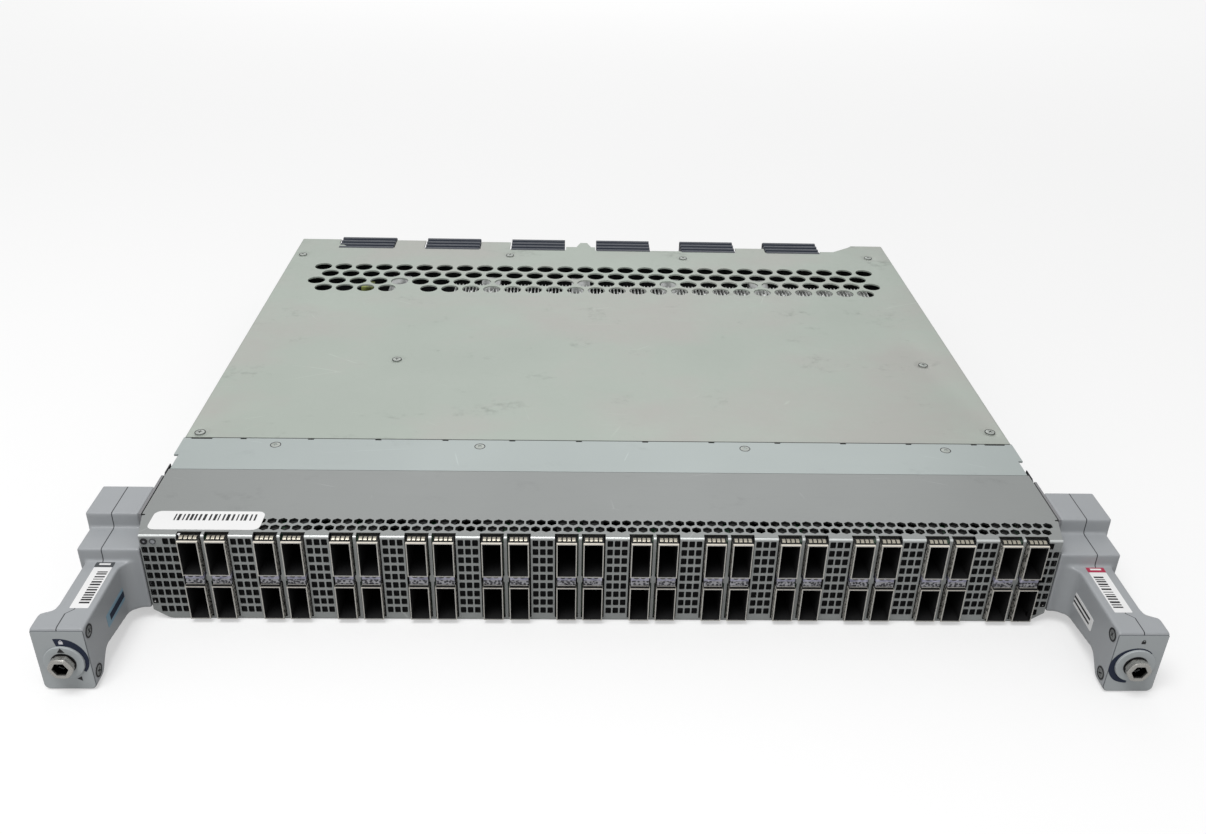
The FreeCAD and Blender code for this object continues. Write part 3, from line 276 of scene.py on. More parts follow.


# Near-black painted into hole walls and seam edges as painted shade.
PAINTED_SHADE = (0.008, 0.008, 0.008)
# The faceplate's bands: a painted highlight along the upper bend, and painted shade on the walls of the face's
# holes and of the top flange's holes.
faceplate_steel = sheet_steel("faceplate_steel", (0.345, 0.360, 0.355), smudge=0.25, scratch=0.5, rough=0.42,
                              bands=((FACE - 0.1, FACE + 0.75, TOP - 0.95, TOP + 0.1, 0.7, (0.80, 0.83, 0.82)),
                                     (FACE + 0.12, FACE + 1.2, 1.4, TOP - 1.5, 0.93, PAINTED_SHADE),
                                     (FACE + 2.0, FACE + 20, TOP - 0.99, TOP - 0.05, 0.9, PAINTED_SHADE)))
# The strip's rear edge and the cover's front edge carry painted shade, standing in for the shadow in the seam
# between them.
strip_zinc = sheet_steel("strip_zinc", (0.48, 0.530, 0.52), smudge=0.2, scratch=0.3, rough=0.40,
                         bands=((strip_high[1] - 0.3, strip_high[1] + 0.1, TOP - 0.9, TOP + 0.1, 0.7, PAINTED_SHADE),))
cover_zinc = sheet_steel("cover_zinc", (0.455, 0.505, 0.455), grain=(300, 300, 300), smudge=0.6, scratch=0.25,
                         rough=0.46, metallic=0.4, stain=(0.475, 0.475, 0.445),
                         bands=((cover_low[1] - 0.1, cover_low[1] + 0.3, TOP - 0.9, TOP + 0.1, 0.6, PAINTED_SHADE),))
tray_zinc = sheet_steel("tray_zinc", (0.40, 0.42, 0.41), grain=(60, 60, 2600), rough=0.42)
rail_steel = sheet_steel("rail_steel", (0.30, 0.30, 0.31), rough=0.42)
spring_dark = sheet_steel("spring_dark", (0.05, 0.05, 0.055), rough=0.4, metallic=0.3)
print("sheet steels:", len(bpy.data.materials))


# %% [markdown]
# ### Moulded and turned finishes
# Handles are satin plastic with a fine spark-eroded grain; connectors, chips and guide blocks are
# darker mouldings; screws and spindles are turned steel, whose rings round their own axis are drawn
# as a fine even grain.


# %% Plastics, metals and lenses
SEAM_ARM, SEAM_HEAD, SEAM_TURN = 232.7, 235.6, (-206.0, -203.0)


def seam_shade_line(tree, place):
    """1 on the parting seam of a handle, where painted shade stands in for the gap between the halves: a
    line at the same distance on both sides of the card, which steps outwards in the head."""
    axes = add_node(tree, "SeparateXYZ", Vector=place)
    seam = between(tree, axes.outputs["Y"], SEAM_TURN[0] * MM, SEAM_TURN[1] * MM, SEAM_HEAD * MM, SEAM_ARM * MM)
    away = math_node(tree, "ABSOLUTE", math_node(tree, "SUBTRACT",
                                                 math_node(tree, "ABSOLUTE", axes.outputs["X"]), seam))
    return between(tree, away, 0.00016, 0.00030, 1.0, 0.0)


def moulded(name, colour, rough=0.45, grain=1400.0, depth=0.00002, spread=0.03, coat=0.0, seam=False):
    material, tree, shader, place = start_finish(name, 0.0, 0.45)
    speckle = noise(tree, place, grain, 2.0)
    paint = shades(tree, place, colour, spread, 30.0)
    if seam:
        # painted shade along the seam between the two halves
        paint = mixed(tree, seam_shade_line(tree, place), paint, (0.02, 0.022, 0.025))
    tree.links.new(paint, shader.inputs["Base Color"])
    tree.links.new(between(tree, speckle, 0.3, 0.7, rough - 0.05, rough + 0.07), shader.inputs["Roughness"])
    shader.inputs["Coat Weight"].default_value = coat
    set_bump(tree, shader, speckle, depth, 0.6)
    return material


def socket_shade(tree, place):
    """Painted shade: 1 inside a drive socket, near the spindle's axis and behind its tip, and on the spindle from
    the middle of its neck backwards, where shade falls in the gap in front of the dial.
    """
    axes = add_node(tree, "SeparateXYZ", Vector=place)
    across = math_node(tree, "SUBTRACT", math_node(tree, "ABSOLUTE", axes.outputs["X"]), 0.2354)
    rise = math_node(tree, "SUBTRACT", axes.outputs["Z"], 0.0163)
    away = math_node(tree, "SQRT", math_node(tree, "ADD", math_node(tree, "MULTIPLY", across, across),
                                             math_node(tree, "MULTIPLY", rise, rise)))
    near = between(tree, away, 0.0038, 0.0039, 1.0, 0.0)
    deep = math_node(tree, "MULTIPLY", near, between(tree, axes.outputs["Y"], -0.2215, -0.2205))
    return math_node(tree, "MAXIMUM", deep, between(tree, axes.outputs["Y"], -0.2181, -0.2179))


def turned_metal(name, colour, rough=0.28, metallic=0.9, socket=False):
    material, tree, shader, place = start_finish(name, metallic)
    rings = noise(tree, place, 1.0, 2.0, (2500, 2500, 2500))
    paint = shades(tree, place, colour, 0.06, 200.0)
    if socket:
        # painted shade in the drive socket and on the neck
        paint = mixed(tree, socket_shade(tree, place), paint, (0.012, 0.012, 0.010))
    tree.links.new(paint, shader.inputs["Base Color"])
    tree.links.new(between(tree, rings, 0.3, 0.7, rough - 0.06, rough + 0.1), shader.inputs["Roughness"])
    set_bump(tree, shader, rings, 0.00002, 0.4)
    return material


handle_plastic = moulded("handle_plastic", (0.345, 0.360, 0.375), 0.33, spread=0.025, seam=True)
head_plastic = moulded("head_plastic", (0.405, 0.430, 0.440), 0.38, spread=0.03)
# Dark grey for the painted shadow line round the raised head plates.
head_shadow_grey = moulded("head_shadow_grey", (0.13, 0.14, 0.15), 0.5)
module_black = moulded("module_black", (0.020, 0.020, 0.022), 0.5)
# Black foam, also used as painted shade behind the grille and in the seam.
foam_shade_black = moulded("foam_shade_black", (0.004, 0.004, 0.005), 0.9, depth=0.0001)
connector_navy = moulded("connector_navy", (0.018, 0.024, 0.045), 0.42)
connector_rib = moulded("connector_rib", (0.030, 0.037, 0.055), 0.4)
# Light grey for painted highlights on the connector ribs.
rib_highlight = moulded("rib_highlight", (0.16, 0.175, 0.20), 0.45, spread=0.3)
guide_grey = moulded("guide_grey", (0.55, 0.56, 0.56), 0.5)
dial_face = moulded("dial_face", (0.43, 0.46, 0.47), 0.4)
print_navy = moulded("print_navy", (0.004, 0.011, 0.036), 0.6, spread=0.06)
print_white = moulded("print_white", (0.72, 0.72, 0.75), 0.5)
# Black for print, and also painted shade in the dial recesses, the screws' crosses and the rings round screw
# heads.
print_and_shade_black = moulded("print_and_shade_black", (0.012, 0.012, 0.014), 0.5)
label_white = moulded("label_white", (0.80, 0.80, 0.80), 0.55, depth=0.00001, spread=0.02)
label_blue = moulded("label_blue", (0.22, 0.36, 0.46), 0.45, spread=0.10)
label_red = moulded("label_red", (0.42, 0.030, 0.075), 0.45, spread=0.08)
label_grey = moulded("label_grey", (0.07, 0.075, 0.08), 0.45)
lamp_olive = moulded("lamp_olive", (0.30, 0.34, 0.10), 0.4)
spindle_steel = turned_metal("spindle_steel", (0.55, 0.54, 0.51), socket=True)
hardware_steel = turned_metal("hardware_steel", (0.50, 0.53, 0.50), 0.38, 0.5)
# A darker turned steel for the handle screws.
darker_steel = turned_metal("darker_steel", (0.24, 0.25, 0.25), 0.42, 0.5)
fin_aluminium = turned_metal("fin_aluminium", (0.80, 0.81, 0.80), 0.45, 0.1)
print("finishes:", len(bpy.data.materials))


# %% [markdown]
# ### Cages, lenses and boards
# A cage's front lip is bright; further in, and on the walls between two cages, the sheet lies in
# shade and carries the pores of the shielding foam. The board is a deep green lacquer over a
# faint pattern of tracks, and the light pipes are milky mouldings that let some light through.


# %% Cage, lens and board finishes
def port_shade(tree, axes):
    """1 inside a port: within half a port's width of a column's middle. The columns repeat with the
    groups' pitch, so x is first wrapped round the middle of its own group."""
    from_group = math_node(tree, "FLOORED_MODULO", math_node(tree, "SUBTRACT", axes.outputs["X"],
                           (group_middles[0] - GROUP_PITCH / 2) * MM), GROUP_PITCH * MM)
    from_middle = math_node(tree, "ABSOLUTE", math_node(tree, "SUBTRACT", from_group, GROUP_PITCH / 2 * MM))
    from_column = math_node(tree, "ABSOLUTE", math_node(tree, "SUBTRACT", from_middle, COLUMN_PITCH / 2 * MM))
    beside = math_node(tree, "LESS_THAN", from_column, 4.5 * MM)
    under = math_node(tree, "LESS_THAN", axes.outputs["Z"], 47.2 * MM)
    return math_node(tree, "MULTIPLY", beside, under)


def cage_finish():
    """Bright steel on the front lip. Further in, painted shade: nearly black inside the port and on the cage tops,
    and near-black pored shielding with light pores on the outer walls.
    """
    material, tree, shader, place = start_finish("cage_steel", 0.5)
    axes = add_node(tree, "SeparateXYZ", Vector=place)
    depth = axes.outputs["Y"]
    behind = between(tree, depth, (cage_front + 0.15) * MM, (cage_front + 0.3) * MM)
    pores = add_node(tree, "TexVoronoi", Vector=place, Scale=900.0).outputs["Distance"]
    # painted shade: behind the lip the walls are near-black, with light pores
    wall = mixed(tree, between(tree, pores, 0.40, 0.56), (0.014, 0.014, 0.013), (0.38, 0.37, 0.34))
    # painted shade, nearly black, inside the port
    wall = mixed(tree, port_shade(tree, axes), wall, (0.0025, 0.0025, 0.003))
    # painted shade on the cage tops, under the faceplate's top flange
    on_top = inside(tree, axes.outputs["Z"], 47.2 * MM, 48.0 * MM)
    wall = mixed(tree, on_top, wall, (0.012, 0.012, 0.012))
    top_lip = math_node(tree, "MULTIPLY", on_top, between(tree, depth, (cage_front + 1.0) * MM,
                                                         (cage_front + 1.2) * MM, 1.0, 0.0))
    lip = shades(tree, place, (0.70, 0.66, 0.58), 0.08, 120.0)
    shown = mixed(tree, behind, lip, wall)
    mix = add_node(tree, "Mix", {"data_type": "RGBA"}, Factor=top_lip)
    tree.links.new(shown, mix.inputs[6])
    tree.links.new(lip, mix.inputs[7])
    tree.links.new(mix.outputs[2], shader.inputs["Base Color"])
    tree.links.new(between(tree, behind, 0.0, 1.0, 0.32, 0.75), shader.inputs["Roughness"])
    tree.links.new(between(tree, behind, 0.0, 1.0, 0.5, 0.0), shader.inputs["Metallic"])
    set_bump(tree, shader, pores, 0.0001, 0.4)
    return material


def lens_finish():
    """Milky plastic with a lavender cast above; below, the pored gasket that closes the gap to the lower cage."""
    material, tree, shader, place = start_finish("light_pipe", 0.0, 0.6)
    flow = noise(tree, place, 320.0, 3.0)
    height = add_node(tree, "SeparateXYZ", Vector=place).outputs["Z"]
    pores = add_node(tree, "TexVoronoi", Vector=place, Scale=800.0).outputs["Distance"]
    milky = mixed(tree, between(tree, flow, 0.35, 0.65), (0.25, 0.25, 0.36), (0.62, 0.61, 0.76))
    gasket = mixed(tree, between(tree, pores, 0.42, 0.6), (0.035, 0.035, 0.045), (0.42, 0.42, 0.45))
    mix = add_node(tree, "Mix", {"data_type": "RGBA"}, Factor=between(tree, height, 25.2 * MM, 25.4 * MM))
    tree.links.new(gasket, mix.inputs[6])
    tree.links.new(milky, mix.inputs[7])
    tree.links.new(mix.outputs[2], shader.inputs["Base Color"])
    tree.links.new(between(tree, flow, 0.3, 0.7, 0.15, 0.3), shader.inputs["Roughness"])
    shader.inputs["Coat Weight"].default_value = 0.4
    set_bump(tree, shader, flow, 0.00005, 0.5)
    return material


def board_finish():
    """Green lacquer; one noise, drawn out from front to back and cut into two shades, stands for the tracks under
    it.
    """
    material, tree, shader, place = start_finish("board_green", 0.0, 0.6)
    tracks = noise(tree, place, 1.0, 0.0, (900, 120, 120))
    paint = mixed(tree, between(tree, tracks, 0.48, 0.52), (0.010, 0.045, 0.020), (0.022, 0.085, 0.038))
    tree.links.new(paint, shader.inputs["Base Color"])
    tree.links.new(between(tree, tracks, 0.4, 0.6, 0.25, 0.38), shader.inputs["Roughness"])
    shader.inputs["Coat Weight"].default_value = 0.3
    set_bump(tree, shader, tracks, 0.00004, 0.4)
    return material


cage_steel = cage_finish()
light_pipe = lens_finish()
board_green = board_finish()
finger_gold = sheet_steel("finger_gold", (0.40, 0.375, 0.31), grain=(200, 2000, 2000), rough=0.34, metallic=0.5,
                         spread=0.15)
lip_bright = sheet_steel("lip_bright", (0.60, 0.59, 0.56), grain=(400, 400, 400), rough=0.3, metallic=0.6)
lamp_clear = moulded("lamp_clear", (0.30, 0.31, 0.33), 0.18, coat=0.6)
print("cage, lens and board finishes made")

# %% Put the finishes on the solids
SLOT_FINISH = {"tray_zinc": tray_zinc, "faceplate_steel": faceplate_steel, "strip_zinc": strip_zinc,
               "cover_zinc": cover_zinc, "cage_steel": cage_steel, "rail_steel": rail_steel,
               "spring_dark": spring_dark, "hardware_steel": hardware_steel, "spindle_steel": spindle_steel,
               "handle_plastic": handle_plastic, "dial_face": dial_face, "lamp_ring": lamp_clear,
               "light_pipe": light_pipe, "board_green": board_green, "module_black": module_black,
               "connector_navy": connector_navy, "guide_grey": guide_grey, "fin_aluminium": fin_aluminium}
for entry in frame["record"]["subparts"]:
    solid = frame["nodes"][entry["node"]]
    solid.data.materials.clear()
    solid.data.materials.append(SLOT_FINISH[entry["material_slot"]])

# %% [markdown]
# ## Punched sheets
# The faceplate and the rear cover are punched while they are flat and folded afterwards. The
# drawing does the same: a flat blank with its outline, its holes and the lines along which it
# bends is filled with triangles, and a fold carries every point of it into place. Thickness
# comes from a second copy of the blank on the sheet's inner side and a wall along every cut edge.


# %% Flat blanks
def ring(centre, radius, sides, turn=0.0, squash=1.0):
    """Points of a regular polygon round a centre, anticlockwise."""
    angle = 2 * np.pi * np.arange(sides) / sides + turn
    return np.column_stack([centre[0] + radius * np.cos(angle), centre[1] + radius * squash * np.sin(angle)])


def eased_box(left, low, wide, tall, ease):
    """A rectangle whose corners are cut by ease, anticlockwise."""
    right, high = left + wide, low + tall
    return np.array([[left + ease, low], [right - ease, low], [right, low + ease], [right, high - ease],
                     [right - ease, high], [left + ease, high], [left, high - ease], [left, low + ease]])


def blank_of(outline, holes, lines=(), circles=()):
    """Fill the area between an outline and its holes with triangles.

    lines are pairs of end points and circles are closed loops; both only add edges. A triangle is
    kept where the outline covers it and no hole does. Returns points, triangles and cut edges:
    a cut edge belongs to one triangle only, so its reverse is not among the triangles' edges.
    """
    loops = [outline] + list(holes)
    points = np.concatenate(loops + list(circles) + [np.array(line) for line in lines])
    starts = np.cumsum([0] + [len(loop) for loop in loops + list(circles)])
    faces = [list(range(start, start + len(loop))) for start, loop in zip(starts, loops)]
    edges = []
    for start, loop in zip(starts[len(loops):], circles):
        count = len(loop)
        edges += [(int(start) + step, int(start) + (step + 1) % count) for step in range(count)]
    first = int(starts[-1])
    edges += [(first + 2 * number, first + 2 * number + 1) for number in range(len(lines))]
    flat, _, triangles, _, _, cover = delaunay_2d_cdt([Vector(point) for point in points], edges, faces, 1, 1e-6)
    kept = np.array([face for face, over in zip(triangles, cover) if over == [0]])
    flat = np.array([tuple(point) for point in flat])
    sides = np.concatenate([kept[:, [0, 1]], kept[:, [1, 2]], kept[:, [2, 0]]])
    code = sides[:, 0] * len(flat) + sides[:, 1]
    back = sides[:, 1] * len(flat) + sides[:, 0]
    return flat, kept, sides[~np.isin(code, back)]


def folded_sheet(blank, fold, thick):
    """Carry a blank into place: fold(points, depth) gives the sheet's surface depth below its outside.

    The inner side is the same triangles turned over, and each cut edge a to b carries the wall
    b, a, a below, b below, which faces away from the sheet.
    """
    flat, triangles, cuts = blank
    count = len(flat)
    points = np.concatenate([fold(flat, 0.0), fold(flat, thick)])
    walls = np.column_stack([cuts[:, 1], cuts[:, 0], cuts[:, 0] + count, cuts[:, 1] + count])
    return points, triangles.tolist() + (triangles[:, ::-1] + count).tolist() + walls.tolist()


# %% [markdown]
# ### The faceplate
# From below, the sheet runs back as a short flange, bends up into the face, and bends back again
# into the deep top flange. Every port column has one tall cut-out that reaches round the upper
# bend; between the columns stands a narrow bar with a nub at half height. The rest of the face is
# a grille of small square holes, and the top flange has two staggered rows of hexagons.

# %% Faceplate
TOE_DEPTH, TOE_BEND, EDGE_BEND = 12.0, 1.6, 1.1
FLANGE_DEPTH = bezel_high[1] - FACE
CUT_WIDE = CAGE_WIDE + 1.7
CUT_LOW, NOTCH_DEPTH, NUB_HEIGHT, NUB_HALF = 2.1, 3.2, 25.0, 2.1
HOLE_WIDE, HOLE_TALL, HOLE_PITCH, ROW_PITCH, TOP_ROW, ROWS = 2.7, 3.5, 3.4, 4.9, 45.6, 9


def fold_faceplate(flat, depth):
    """u is x. v runs up the face from its foot: below the lower bend it goes back underneath, and
    above the upper bend it goes back on top. The outward normal turns from down through forward
    to up, and a point lies depth inside the outer surface along it."""
    across, run = flat[:, 0], flat[:, 1]
    lower = np.clip((run + TOE_BEND) / (2 * TOE_BEND), 0, 1)
    upper = np.clip((run - TOP + EDGE_BEND) / (2 * EDGE_BEND), 0, 1)
    turn = (lower + upper) * np.pi / 2
    out_y, out_z = -np.sin(turn), -np.cos(turn)
    parts = [run < -TOE_BEND, run < TOE_BEND, run < TOP - EDGE_BEND, run < TOP + EDGE_BEND]
    y = np.select(parts, [-run, TOE_BEND * (1 + out_y), 0 * run, EDGE_BEND * (1 + out_y)], run - TOP)
    z = np.select(parts, [0 * run, TOE_BEND * (1 + out_z), run, TOP - EDGE_BEND * (1 - out_z)], TOP)
    return np.column_stack([across, FACE + y - out_y * depth, z - out_z * depth])


def port_cut(middle, nub_side):
    """One column's cut-out: a tall slot whose inner side has a nub at half height."""
    left, right, high = middle - CUT_WIDE / 2, middle + CUT_WIDE / 2, TOP + NOTCH_DEPTH
    nub = np.array([[0, -NUB_HALF], [0.55, -NUB_HALF + 0.6], [0.55, NUB_HALF - 0.6], [0, NUB_HALF]])
    if nub_side > 0:
        side = np.column_stack([right - nub[:, 0], NUB_HEIGHT + nub[:, 1]])
        return np.concatenate([[[left, CUT_LOW], [right, CUT_LOW]], side, [[right, high], [left, high]]])
    side = np.column_stack([left + nub[:, 0], NUB_HEIGHT + nub[:, 1]])[::-1]
    return np.concatenate([[[left, CUT_LOW], [right, CUT_LOW], [right, high], [left, high]], side])


def grille_holes():
    """Square holes with eased corners: three columns between groups, and what fits at both ends."""
    gaps = (column_middles[1:-1:2] + column_middles[2::2]) / 2
    columns = [(gap + step * HOLE_PITCH, 0, ROWS) for gap in gaps for step in (-1, 0, 1)]
    left = 0.6 + 1.2 - BEZEL_HALF
    columns += [(left + step * HOLE_PITCH, first, last)
                for step, first, last in ((0, 1, 8), (1, 1, 9), (2, 1, 9), (3, 0, 9), (4, 0, 9))]
    right = BEZEL_HALF - 1.8
    columns += [(right - HOLE_PITCH, 0, 9), (right, 1, 8)]
    return [eased_box(x - HOLE_WIDE / 2, TOP_ROW - row * ROW_PITCH - HOLE_TALL / 2, HOLE_WIDE, HOLE_TALL, 0.35)
            for x, first, last in columns for row in range(first, last)]


def flange_vents():
    """Two rows of upright hexagons in the top flange, the second shifted by half a pitch."""
    return [ring((1.1 + (number - 41.5) * 5.04 + (row - 0.5) * 2.52, TOP + 6.8 + row * 5.4), 2.42, 6, np.pi / 6)
            for row in (0, 1) for number in range(84)]


FLARE, FLANGE_HALF = 17.0, bezel_high[0]
right_side = [[BEZEL_HALF - 8.5, -TOE_DEPTH], [BEZEL_HALF - 8.5, 0], [BEZEL_HALF, 6], [BEZEL_HALF, TOP + 1.2],
              [FLANGE_HALF - 0.3, TOP + FLARE - 1], [FLANGE_HALF - 1.6, TOP + FLARE - 0.9],
              [FLANGE_HALF - 1.6, TOP + FLARE], [FLANGE_HALF, TOP + FLARE + 0.4],
              [FLANGE_HALF, TOP + FLANGE_DEPTH]]
bezel_outline = np.array(right_side + [[-across, run] for across, run in right_side[::-1]])
lamp_places = np.array([[-BEZEL_HALF + 2.2, TOP_ROW], [-BEZEL_HALF + 6.2, TOP_ROW]])
bezel_holes = [port_cut(middle, 1 if number % 2 == 0 else -1) for number, middle in enumerate(column_middles)]
bezel_holes += grille_holes() + flange_vents() + [ring(place, 1.25, 16) for place in lamp_places]
bends = [step * bend + middle for middle, bend in ((0, TOE_BEND), (TOP, EDGE_BEND))
         for step in (-1, -0.5, 0, 0.5, 1)]
bezel_blank = blank_of(bezel_outline, bezel_holes,
                       [[(-BEZEL_HALF - 9, run), (BEZEL_HALF + 9, run)] for run in bends])
faceplate = make_piece("faceplate", *folded_sheet(bezel_blank, fold_faceplate, 1.0), "card", "faceplate_steel",
                       faceplate_steel, smooth=35)
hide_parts("front_bezel")

# %% [markdown]
# ### The rear cover
# A pale zinc-plated sheet with hems turned down at both sides. Four staggered rows of large round
# vents lie near its rear edge, which is notched over the connectors. Each screw sits in a shallow
# pressed dimple: circles round the screw add points, and the fold lowers those inside them.

# %% Rear cover
HEM, COVER_BEND = 8.0, 1.2
SCREWS = np.array([(-213.3, 93.9), (212.5, 101.5), (-121.7, 182.9), (197.5, 182.4),
                   (-213.4, 352.6), (204.1, 360.0), (-62.7, 356.2), (65.1, 354.9)]) + [0, FACE]
STRIP_SCREWS = np.array([(-170.7, 81.5), (-64.4, 81.5), (75.2, 81.5), (182.2, 81.5)]) + [0, FACE]


def dimple(flat, places, radius, deep):
    """How far the sheet is pressed in: deep inside 0.72 radius, easing to nothing at radius."""
    reach = np.linalg.norm(flat[:, None, :] - places[None], axis=2).min(axis=1) / radius
    return deep * (1 - np.clip((reach - 0.72) / 0.28, 0, 1)) ** 2


def fold_cover(flat, depth):
    """v is y. u is x as far as the side bend, and then runs down the hem."""
    across, run = flat[:, 0], flat[:, 1]
    past = np.clip((np.abs(across) - CARD_HALF + COVER_BEND) / (2 * COVER_BEND), 0, 1)
    turn = past * np.pi / 2
    out_x, out_z = np.sign(across) * np.sin(turn), np.cos(turn)
    centre = CARD_HALF - COVER_BEND
    parts = [np.abs(across) < centre, np.abs(across) < CARD_HALF + COVER_BEND]
    x = np.select(parts, [across, np.sign(across) * centre + COVER_BEND * out_x], np.sign(across) * CARD_HALF)
    z = np.select(parts, [TOP + 0 * run, TOP - COVER_BEND + COVER_BEND * out_z], TOP - np.abs(across) + CARD_HALF)
    z = z - dimple(flat, SCREWS, 6.0, 0.45)
    return np.column_stack([x - out_x * depth, run, z - out_z * depth])


def rear_edge():
    """The rear outline from right to left: tabs between notches that stop short of the connectors."""
    depth = cover_high[1]
    short = [0.0, 0.4, 1.4, 9.6, 15.4, 8.0, 13.0]
    points = [[CARD_HALF + HEM, depth], [CARD_HALF - 24, depth], [CARD_HALF - 26, depth - 2.5],
              [CARD_HALF - 40, depth - 13]]
    for number in range(5, -1, -1):
        low, high = plug_boxes[number]
        right, left = high[0] + 1, low[0] - 1
        front = depth - 16
        tail = [[right, depth - short[number + 1]], [right, front]]
        if number == 5:
            tail[0] = [right, depth - 13]
        head = [[left, front], [left, depth - short[number]]]
        if number == 0:
            head = [[left + 9, front], [left, depth - 8]] + [[left, depth]]
        points += tail + head
        if number == 3:
            points += [[left - 3, depth - short[3]], [left - 6, depth - 0.8], [left - 11, depth - 0.6],
                       [left - 14, depth - short[3]]]
    return points + [[-CARD_HALF - HEM, depth]]


def cover_vents():
    """Staggered rows of 28 and 27 vents, 24 points each; the front row has no fifth vent."""
    vents = []
    for row, run in enumerate((329.6, 317.2, 304.2, 291.7)):
        count = 28 - row % 2
        middles = (np.arange(count) - (count - 1) / 2) * 14.37
        if row == 3:
            middles = np.delete(middles, 4)
        vents += [ring((middle, FACE + run), 5.95, 24) for middle in middles]
    return vents


cover_front = cover_low[1]
cover_outline = np.array([[-CARD_HALF - HEM, cover_front], [CARD_HALF + HEM, cover_front]] + rear_edge())
cover_bends = [side * (CARD_HALF + step * COVER_BEND) for side in (-1, 1) for step in (-1, -0.5, 0, 0.5, 1)]
dimple_rings = [ring(place, radius, 24) for place in SCREWS for radius in (4.32, 5.1, 6.0)]
cover_blank = blank_of(cover_outline, cover_vents(),
                       [[(across, cover_front - 1), (across, cover_high[1] + 1)] for across in cover_bends],
                       dimple_rings)
rear_cover = make_piece("rear_cover", *folded_sheet(cover_blank, fold_cover, 1.0), "card", "cover_zinc",
                        cover_zinc, smooth=35)
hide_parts("top_cover")

# %% [markdown]
# ## Handles
# Each handle is moulded in two halves that meet along a seam. The solids have the halves' true
# shape with sharp edges; a moulding has none. The two halves are joined, covered with a fine even
# mesh and relaxed a little, which rounds every edge and fills every inner corner with a fillet,
# as a mould does. The seam is a thin dark line painted into the finish: painted shade standing in
# for the gap between the halves.


# %% Soft mouldings
def soft_moulding(name, nodes, body, material, cell, passes):
    """One even skin of cell mm over several touching solids, smoothed by a number of passes."""
    shape = bmesh.new()
    for node in nodes:
        shape.from_mesh(frame["nodes"][node].data)
    bmesh.ops.remove_doubles(shape, verts=shape.verts, dist=0.00001)
    inner = [face for face in shape.faces
             if all(abs(abs(corner.co.x) / MM
                        - np.interp(corner.co.y / MM, SEAM_TURN, (SEAM_HEAD, SEAM_ARM))) < 0.02
                    for corner in face.verts)]
    bmesh.ops.delete(shape, geom=inner, context="FACES")
    mesh = bpy.data.meshes.new(name)
    shape.to_mesh(mesh)
    shape.free()
    mesh.materials.append(material)
    thing = bpy.data.objects.new(name, mesh)
    bpy.context.scene.collection.objects.link(thing)
    skin = thing.modifiers.new("even skin", "REMESH")
    skin.mode, skin.voxel_size, skin.use_smooth_shade = "VOXEL", cell * MM, True
    relaxed = thing.modifiers.new("relaxed", "SMOOTH")
    relaxed.factor, relaxed.iterations = 0.5, passes
    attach(thing, body)
    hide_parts(*nodes)
    pieces_made.append(thing)
    print(f"{name}: {len(inner)} seam faces left out, {len(mesh.polygons)} faces kept")
    return thing


for side in ("left", "right"):
    soft_moulding(f"{side}_handle_shell", [f"{side}_handle_inner", f"{side}_handle_outer"], "card",
                  handle_plastic, 0.55, 12)

# %% [markdown]
# ## Port mouths
# Every cage ends in a folded lip, and the lip of an upper cage carries a row of springy fingers
# that touch the faceplate. A lip is four loops of eight points: outside back, outside front,
# inside front and inside back. A finger is one narrow strip carried along a curved profile.


# %% Lips and fingers
def lip_frame(x, z, wide, tall, rim, front, back):
    """A rectangular frame round (x, z) with eased corners: four loops of eight points joined by quads."""
    outer = eased_box(x - wide / 2 - rim, z - tall / 2 - rim, wide + 2 * rim, tall + 2 * rim, 0.4)
    inner = eased_box(x - wide / 2, z - tall / 2, wide, tall, 0.15)
    loops = [(outer, back), (outer, front), (inner, front), (inner, back)]
    points = np.concatenate([np.column_stack([loop[:, 0], np.full(8, y), loop[:, 1]]) for loop, y in loops])
    step = np.arange(8)
    after = (step + 1) % 8
    faces = np.concatenate([np.column_stack([first * 8 + step, first * 8 + after,
                                             last * 8 + after, last * 8 + step])
                            for first, last in ((0, 1), (1, 2), (2, 3), (3, 0))])
    return points, faces.tolist()


def bent_strip(profile, middle, wide, thick):
    """A strip of the given width carried along a profile of (y, z) points; its underside is the profile
    moved inwards along the profile's own normals."""
    run = np.gradient(profile, axis=0)
    run /= np.linalg.norm(run, axis=1, keepdims=True)
    below = profile - np.column_stack([-run[:, 1], run[:, 0]]) * thick
    count = len(profile)
    rows = [np.column_stack([np.full(count, middle + side * wide / 2), line])
            for side, line in ((-1, profile), (1, profile), (1, below), (-1, below))]
    step = np.arange(count - 1)
    faces = [np.column_stack([first * count + step, last * count + step, last * count + step + 1,
                              first * count + step + 1]) for first, last in ((0, 1), (1, 2), (2, 3), (3, 0))]
    ends = [[0, 3 * count, 2 * count, count], [count - 1, 2 * count - 1, 3 * count - 1, 4 * count - 1]]
    return np.concatenate(rows), np.concatenate(faces).tolist() + ends


PORT_WIDE, PORT_TALL, LEVELS = 8.6, 18.4, (37.8, 12.3)
mouths = [lip_frame(middle, level, PORT_WIDE - 0.1, PORT_TALL - 0.1, 0.33, cage_front - 0.05, cage_front + 0.25)
          for middle in column_middles for level in LEVELS]
make_piece("port_lips", *gather(mouths), "card", "cage_steel", lip_bright)

bow = np.linspace(0, 1, 6)
finger_line = np.column_stack([cage_front + 1.9 + bow * 3.2, 47.45 + 0.95 * np.sin(np.pi * (0.12 + 0.80 * bow))])
fingers = [bent_strip(finger_line, middle + (number - 1.5) * 2.15, 1.5, 0.2)
           for middle in column_middles for number in range(4)]
make_piece("contact_fingers", *gather(fingers), "card", "cage_steel", finger_gold)

# %% [markdown]
# ## Small marks on the front
# Between the upper and the lower port, each light pipe ends in a lens with small dark arrow
# marks. Two status lamps sit in dark bezels in the corner of the grille.


